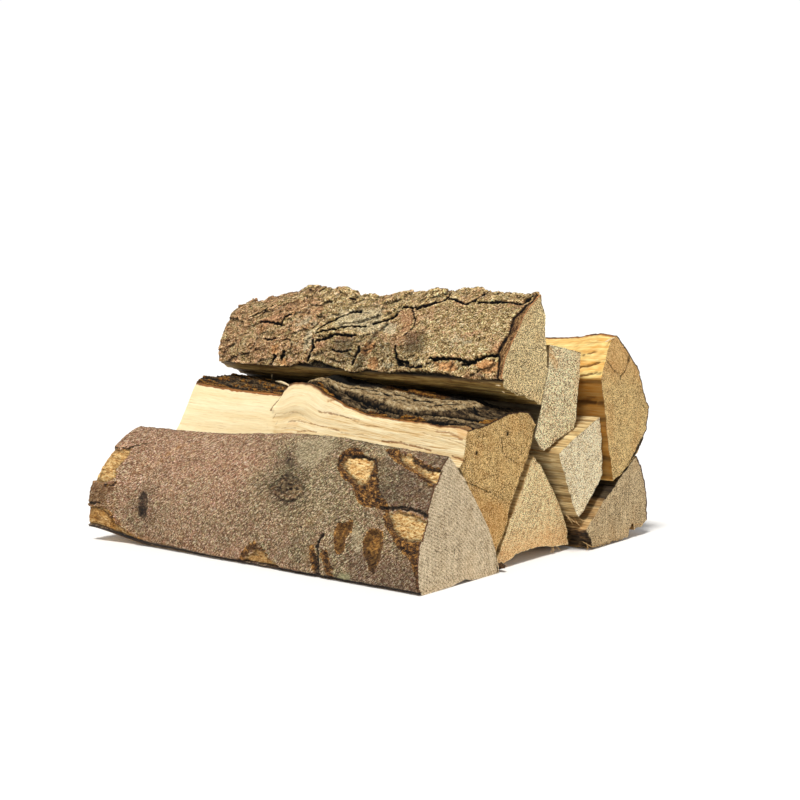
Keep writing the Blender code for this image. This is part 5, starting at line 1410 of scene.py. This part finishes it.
build("front_log", 300, [40, 60, 188], carve_front,
      {"bark": BARK_A,
       "split": split_wood("split_greyish", (206, 180, 138), (180, 150, 108), (140, 108, 68), (120, 86, 50), bark_in=(60, 40, 24), bark_out=(15, 11, 8)),
       "end": sawn_end("end_grey_beige", (212, 192, 160), (192, 170, 137), (150, 126, 94), 0.62, 1.45, 0, 0.22, (176, 140, 96), (20, 60), 0.0, 0.5, (110, 78, 50), (60, 42, 30),
                       arcs=(-30, -60, 2.4, 0.10), gain=(1.15, 1.19, 1.22))},
      saw_relief(81, 38), saw_relief(82, 20))
build("middle_log", 300, [40, 52, 112, 72], carve_middle,
      {"bark": BARK_B,
       "split": split_wood("split_cream", (252, 236, 192), (242, 218, 166), (220, 182, 122), (158, 100, 42), 0.18, (226, 170, 104), 0.22, 0.6, gain=(0.94, 0.95, 0.98),
                           bark_in=(150, 96, 44), bark_out=(52, 36, 22), calm=True),
       "end": sawn_end("end_tan", (222, 190, 140), (190, 154, 100), (138, 100, 56), 0.75, 1.95, 62, 0.15, (196, 130, 62), (75, 120), 0.2, 0.6, pores=0.8, gain=(1.03, 1.03, 0.88))},
      saw_relief(83, 62), saw_relief(84, 15))
build("top_log", 340, [44, 12, 36, 148], carve_top,
      {"bark": BARK_C,
       "split": split_wood("split_dark_tan", (196, 160, 106), (160, 122, 70), (110, 76, 36), (90, 58, 24), gain=(0.86, 0.93, 0.78), bark_band=0.5, bark_in=(70, 46, 26), bark_out=(30, 21, 13)),
       "end": sawn_end("end_beige", (220, 196, 152), (198, 172, 126), (154, 126, 82), 0.76, 3.6, 80, 0.12, (190, 140, 80), (110, 160), 0.0, 0.9, (158, 120, 78), (104, 74, 50), pores=0.85, gain=(1.14, 1.14, 1.07))},
      saw_relief(85, 80), saw_relief(86, 100))
build("low_log", 150, [72, 68, 68], carve_split(110, 0.8, 0.3, 0.45, 0.8, 0),
      {"split": split_wood("split_tan", (224, 194, 140), (196, 158, 102), (146, 106, 56), (128, 88, 44)),
       "end": sawn_end("end_cream_yellow", (236, 212, 164), (216, 186, 134), (172, 136, 86), 0.65, 2.2, -30, 0.40, (206, 138, 66), (150, 110), 0.05, pores=0.4, gain=(1.19, 1.15, 1.16))},
      saw_relief(87, -60, 0.16), saw_relief(88, 30))
# the upright log's sides 4, 5 and 0 face into the gaps between logs and get painted shade
build("upright_log", 150, [16, 40, 60, 48, 20, 24], carve_split(130, shade=((4, 0.6), (5, 0.85), (0, 0.7))),
      {"split": split_wood("split_pale_tan", (234, 208, 158), (206, 174, 120), (160, 122, 70), (140, 100, 54)),
       "end": sawn_end("end_cream_speckled", (232, 211, 174), (222, 199, 160), (150, 126, 84), 0.80, 2.5, 10, 0.08, (186, 124, 46), (230, 120), 0.0, pores=1.0, depth=0.6, gain=(1.24, 1.20, 1.15))},
      saw_relief(89, 0), saw_relief(90, 40))
build("diamond_log", 150, [56, 40, 48, 64], carve_split(150, extra=more_diamond),
      {"split": split_wood("split_tan_grey", (226, 200, 148), (198, 166, 114), (152, 118, 70), (130, 96, 54), gain=(1.06, 1.12, 1.16)),
       "end": sawn_end("end_whitish", (236, 222, 190), (216, 198, 160), (168, 148, 112), 0.68, 2.0, 50, 0.12, (200, 160, 104), (260, 60), 0.0, pores=0.4, gain=(1.26, 1.18, 1.12))},
      saw_relief(91, 50), saw_relief(92, 10))
build("round_log", 150, [40, 34, 60, 34, 40], carve_split(170, 1.0, 0.35, 0.5, 1.2, extra=more_round),
      {"split": split_wood("split_golden", (250, 218, 146), (230, 182, 104), (178, 122, 50), (150, 92, 32), 0.3, (210, 130, 22), 0.2, 2.0, gain=(1.10, 1.17, 1.22), calm=True),
       "bark": BARK_G,
       "end": sawn_end("end_golden_tan", (222, 190, 136), (194, 160, 106), (150, 114, 66), 0.7, 2.1, 70, 0.08, (200, 130, 62), (215, 110), 0.1, 0.8, pores=0.5, gain=(1.08, 1.11, 1.04))},
      saw_relief(93, 70), saw_relief(94, 20))
build("torn_log", 150, [56, 14, 48, 68, 22], carve_split(190, 1.0, 0.4, 0.6, 0.8, 0, extra=more_torn),
      {"split": split_wood("split_brown", (206, 176, 126), (170, 136, 88), (122, 88, 48), (104, 72, 36)),
       "bark": BARK_G,
       "end": sawn_end("end_greyish_tan", (206, 184, 146), (178, 154, 116), (136, 110, 72), 0.68, 2.1, 0, 0.34, (176, 130, 76), (240, -60), 0.0, 0.9, pores=0.4, gain=(1.06, 1.06, 1.03))},
      saw_relief(95, 0, 0.2), saw_relief(96, 60))


# --------------------------------------------------------- splinters and fibres
def wisps(name, paths, look):
    """Thin tapered splinters on one log, each closed: paths are (points, radius, flatness)."""
    verts, faces = [], []
    for points, radius, flat in paths:
        p = np.array(points, float)
        n = len(p)
        tang = np.gradient(p, axis=0)
        tang /= np.linalg.norm(tang, axis=1)[:, None] + 1e-9
        side = np.cross(tang, [0.3, 0.2, 0.93])
        side /= np.linalg.norm(side, axis=1)[:, None] + 1e-9
        up = np.cross(side, tang)
        t = np.linspace(0, 1, n)
        r = radius * np.clip(np.minimum(t * 6 + 0.35, (1 - t) * 2.2 + 0.12), 0, 1)
        first = len(verts)
        for i in range(n):
            for a in range(5):
                c, s = math.cos(a * 2 * math.pi / 5), math.sin(a * 2 * math.pi / 5)
                verts.append(p[i] + side[i] * r[i] * c + up[i] * r[i] * s * flat)
        for i in range(n - 1):
            for a in range(5):
                b = (a + 1) % 5
                q = first + i * 5
                faces.append((q + a, q + b, q + 5 + b, q + 5 + a))
        faces.append(tuple(first + a for a in reversed(range(5))))
        faces.append(tuple(first + (n - 1) * 5 + a for a in range(5)))
    world = (np.clip(np.array(verts), *LIMITS) - np.array([CENTRE[0], CENTRE[1], 0.0])) * MM
    mesh = bpy.data.meshes.new(name)
    mesh.from_pydata([tuple(map(float, v)) for v in world], [], faces)
    mesh.validate()
    mesh.materials.append(look)
    mesh.polygons.foreach_set("use_smooth", np.ones(len(mesh.polygons), bool))
    obj = bpy.data.objects.new(name, mesh)
    bpy.context.scene.collection.objects.link(obj)
    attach(obj, "root")
    print(name, "tris", sum(len(f) - 2 for f in faces))
    return obj


def fibre_wood(name, pale, mid, deep):
    n = Nodes(name, (1, 1, 1), 0.75, 0.25)
    at = n.scaled(n.at, 1000.0, 1000.0, 1000.0)
    v = n.add(n.math("MULTIPLY", n.grit(at, 0.8), 0.5), n.math("MULTIPLY", n.noise(at, 0.5, 3, 0.6), 0.5))
    return n.done(n.ramp(v, (0.3, deep), (0.5, mid), (0.7, pale)), v, 0.2)


PALE_FIBRE = fibre_wood("fibre_pale", (252, 240, 208), (240, 218, 172), (206, 170, 114))
TAN_FIBRE = fibre_wood("fibre_tan", (222, 190, 138), (188, 152, 100), (128, 94, 52))
DARK_FIBRE = fibre_wood("fibre_bark", (108, 78, 48), (74, 52, 32), (34, 24, 15))

wisps("middle_log_splinters", [([(-262, 118, 128.6), (-250, 113, 128.8), (-238, 106, 128.6), (-226, 98, 128.4), (-215, 90, 127.6)], 1.9, 0.6),
                               ([(-172, 81, 130.5), (-174, 80.5, 127.5), (-176, 80, 124.5)], 0.5, 0.8)], PALE_FIBRE)
wisps("top_log_splinters", [([(-288, 138.5, 134.5), (-290, 140, 131), (-291, 141, 128)], 0.7, 0.7),
                            ([(-5, 95, 140), (-6.5, 101, 139.4), (-8, 108.6, 138.6)], 0.6, 0.7), ([(-5, 103.2, 135), (-6.5, 107, 134), (-8, 110.8, 133)], 0.5, 0.7),
                            ([(-5, 100.5, 144.1), (-6.5, 106, 143), (-8, 112, 142)], 0.5, 0.7)], PALE_FIBRE)
wisps("diamond_log_fibres", [([(3, 181.3, 31), (6, 186, 26.5), (6.5, 191.7, 23.2)], 0.35, 1), ([(3, 179.1, 32.5), (6, 181, 28), (6.5, 184.8, 23.6)], 0.35, 1),
                             ([(3, 182.4, 32.5), (6, 178.5, 30), (6.5, 176.7, 27.7)], 0.3, 1), ([(3, 190, 30), (6, 191.5, 24), (6.5, 196.5, 20.5)], 0.35, 1),
                             ([(3, 196, 28.5), (6, 200, 24.5), (7, 206, 26)], 0.3, 1)], TAN_FIBRE)
wisps("low_log_fibres", [([(-8, 178, 7), (-5.5, 176, 3), (-5.5, 173.2, 0.4)], 0.35, 1), ([(-8, 174, 7), (-5.5, 174, 4), (-5.5, 170.2, 1.4)], 0.3, 1),
                         ([(-8, 181, 6), (-5.5, 183, 3), (-5.5, 187, 1.2)], 0.3, 1)], TAN_FIBRE)
wisps("torn_log_fibres", [([(6, 199, 8), (9.5, 208, 2.6), (9.8, 221, 1.3)], 0.6, 0.8), ([(6, 212, 8), (9.5, 222, 3.4), (9.8, 230, 1.0)], 0.5, 0.8),
                          ([(6, 224, 12), (9.5, 233, 7), (9.8, 240, 4.4)], 0.5, 0.8), ([(6, 256, 9), (9.5, 251, 4), (9.8, 248, 0.7)], 0.5, 0.8),
                          ([(6, 238, 7), (9.5, 243, 3), (9.8, 252, 2.0)], 0.45, 0.8), ([(6, 205, 6), (9.5, 203, 2.4), (9.8, 199, 0.8)], 0.5, 0.8),
                          ([(6, 270, 15), (9.5, 277, 10.5), (9.8, 293, 10)], 1.3, 0.6), ([(6, 216, 5), (9.5, 219, 1.8), (9.8, 214, 0.6)], 0.6, 0.8)], TAN_FIBRE)
wisps("round_log_chip", [([(7, 228.5, 167.6), (9.8, 233.5, 170.2), (9.9, 239, 171.0)], 1.3, 0.5)], PALE_FIBRE)
wisps("front_log_nub", [([(-9, 97, 3.2), (-3, 98, 3.6), (0.8, 97.5, 4.6), (0.4, 95.5, 8.0)], 3.0, 0.9), ([(-12, 99, 2.6), (-4, 100.0, 2.8), (0.2, 100.4, 3.4)], 2.2, 0.9)], DARK_FIBRE)


# --------------------------------------------------------- floor, light, camera
def plain(name, colour, roughness):
    mat = bpy.data.materials.new(name)
    mat.use_nodes = True
    mat.node_tree.nodes["Principled BSDF"].inputs["Base Color"].default_value = rgb(*colour)
    mat.node_tree.nodes["Principled BSDF"].inputs["Roughness"].default_value = roughness
    mat.node_tree.nodes["Principled BSDF"].inputs["Specular IOR Level"].default_value = 0.2
    return mat


floor_mesh = bpy.data.meshes.new("floor")
floor_mesh.from_pydata([(-30, -30, 0), (30, -30, 0), (30, 30, 0), (-30, 30, 0)], [], [(0, 1, 2, 3)])
floor_mesh.materials.append(plain("floor_white", (250, 250, 250), 0.9))
floor = bpy.data.objects.new("floor", floor_mesh)
floor.location = (0, 0, -0.0002)
bpy.context.scene.collection.objects.link(floor)

# a bright horizon and a dimmer sky, like a white cove under soft lamps
world = bpy.data.worlds.new("studio")
world.use_nodes = True
wn = world.node_tree.nodes
up = wn.new("ShaderNodeSeparateXYZ")
world.node_tree.links.new(wn.new("ShaderNodeTexCoord").outputs["Generated"], up.inputs[0])
sky = wn.new("ShaderNodeMapRange")
sky.interpolation_type = "SMOOTHSTEP"
for socket, value in (("From Min", 0.25), ("From Max", 0.55), ("To Min", 1.02), ("To Max", 0.26)):
    sky.inputs[socket].default_value = value
world.node_tree.links.new(up.outputs["Z"], sky.inputs["Value"])
world.node_tree.links.new(sky.outputs[0], wn["Background"].inputs["Strength"])
wn["Background"].inputs["Color"].default_value = (1, 1, 1, 1)
bpy.context.scene.world = world

key = bpy.data.lights.new("key", "SUN")
key.energy = 2.9
key.angle = math.radians(13)
key.color = (1.0, 0.97, 0.92)
key_obj = bpy.data.objects.new("key", key)
key_obj.rotation_euler = Vector((0.10, -0.38, 0.92)).to_track_quat("Z", "Y").to_euler()
bpy.context.scene.collection.objects.link(key_obj)

cam_data = bpy.data.cameras.new("camera")
cam_data.sensor_width = 36
cam_data.lens = 56.22
cam_data.clip_start = 0.01
cam_data.clip_end = 100
cam = bpy.data.objects.new("camera", cam_data)
cam.location = (0.70128591, -0.78390134, 0.21388577)
cam.rotation_euler = (math.radians(90 - 5.270), 0, math.radians(40.390))
bpy.context.scene.collection.objects.link(cam)
bpy.context.scene.camera = cam
bpy.context.scene.view_settings.view_transform = "Standard"
bpy.context.scene.view_settings.look = "None"
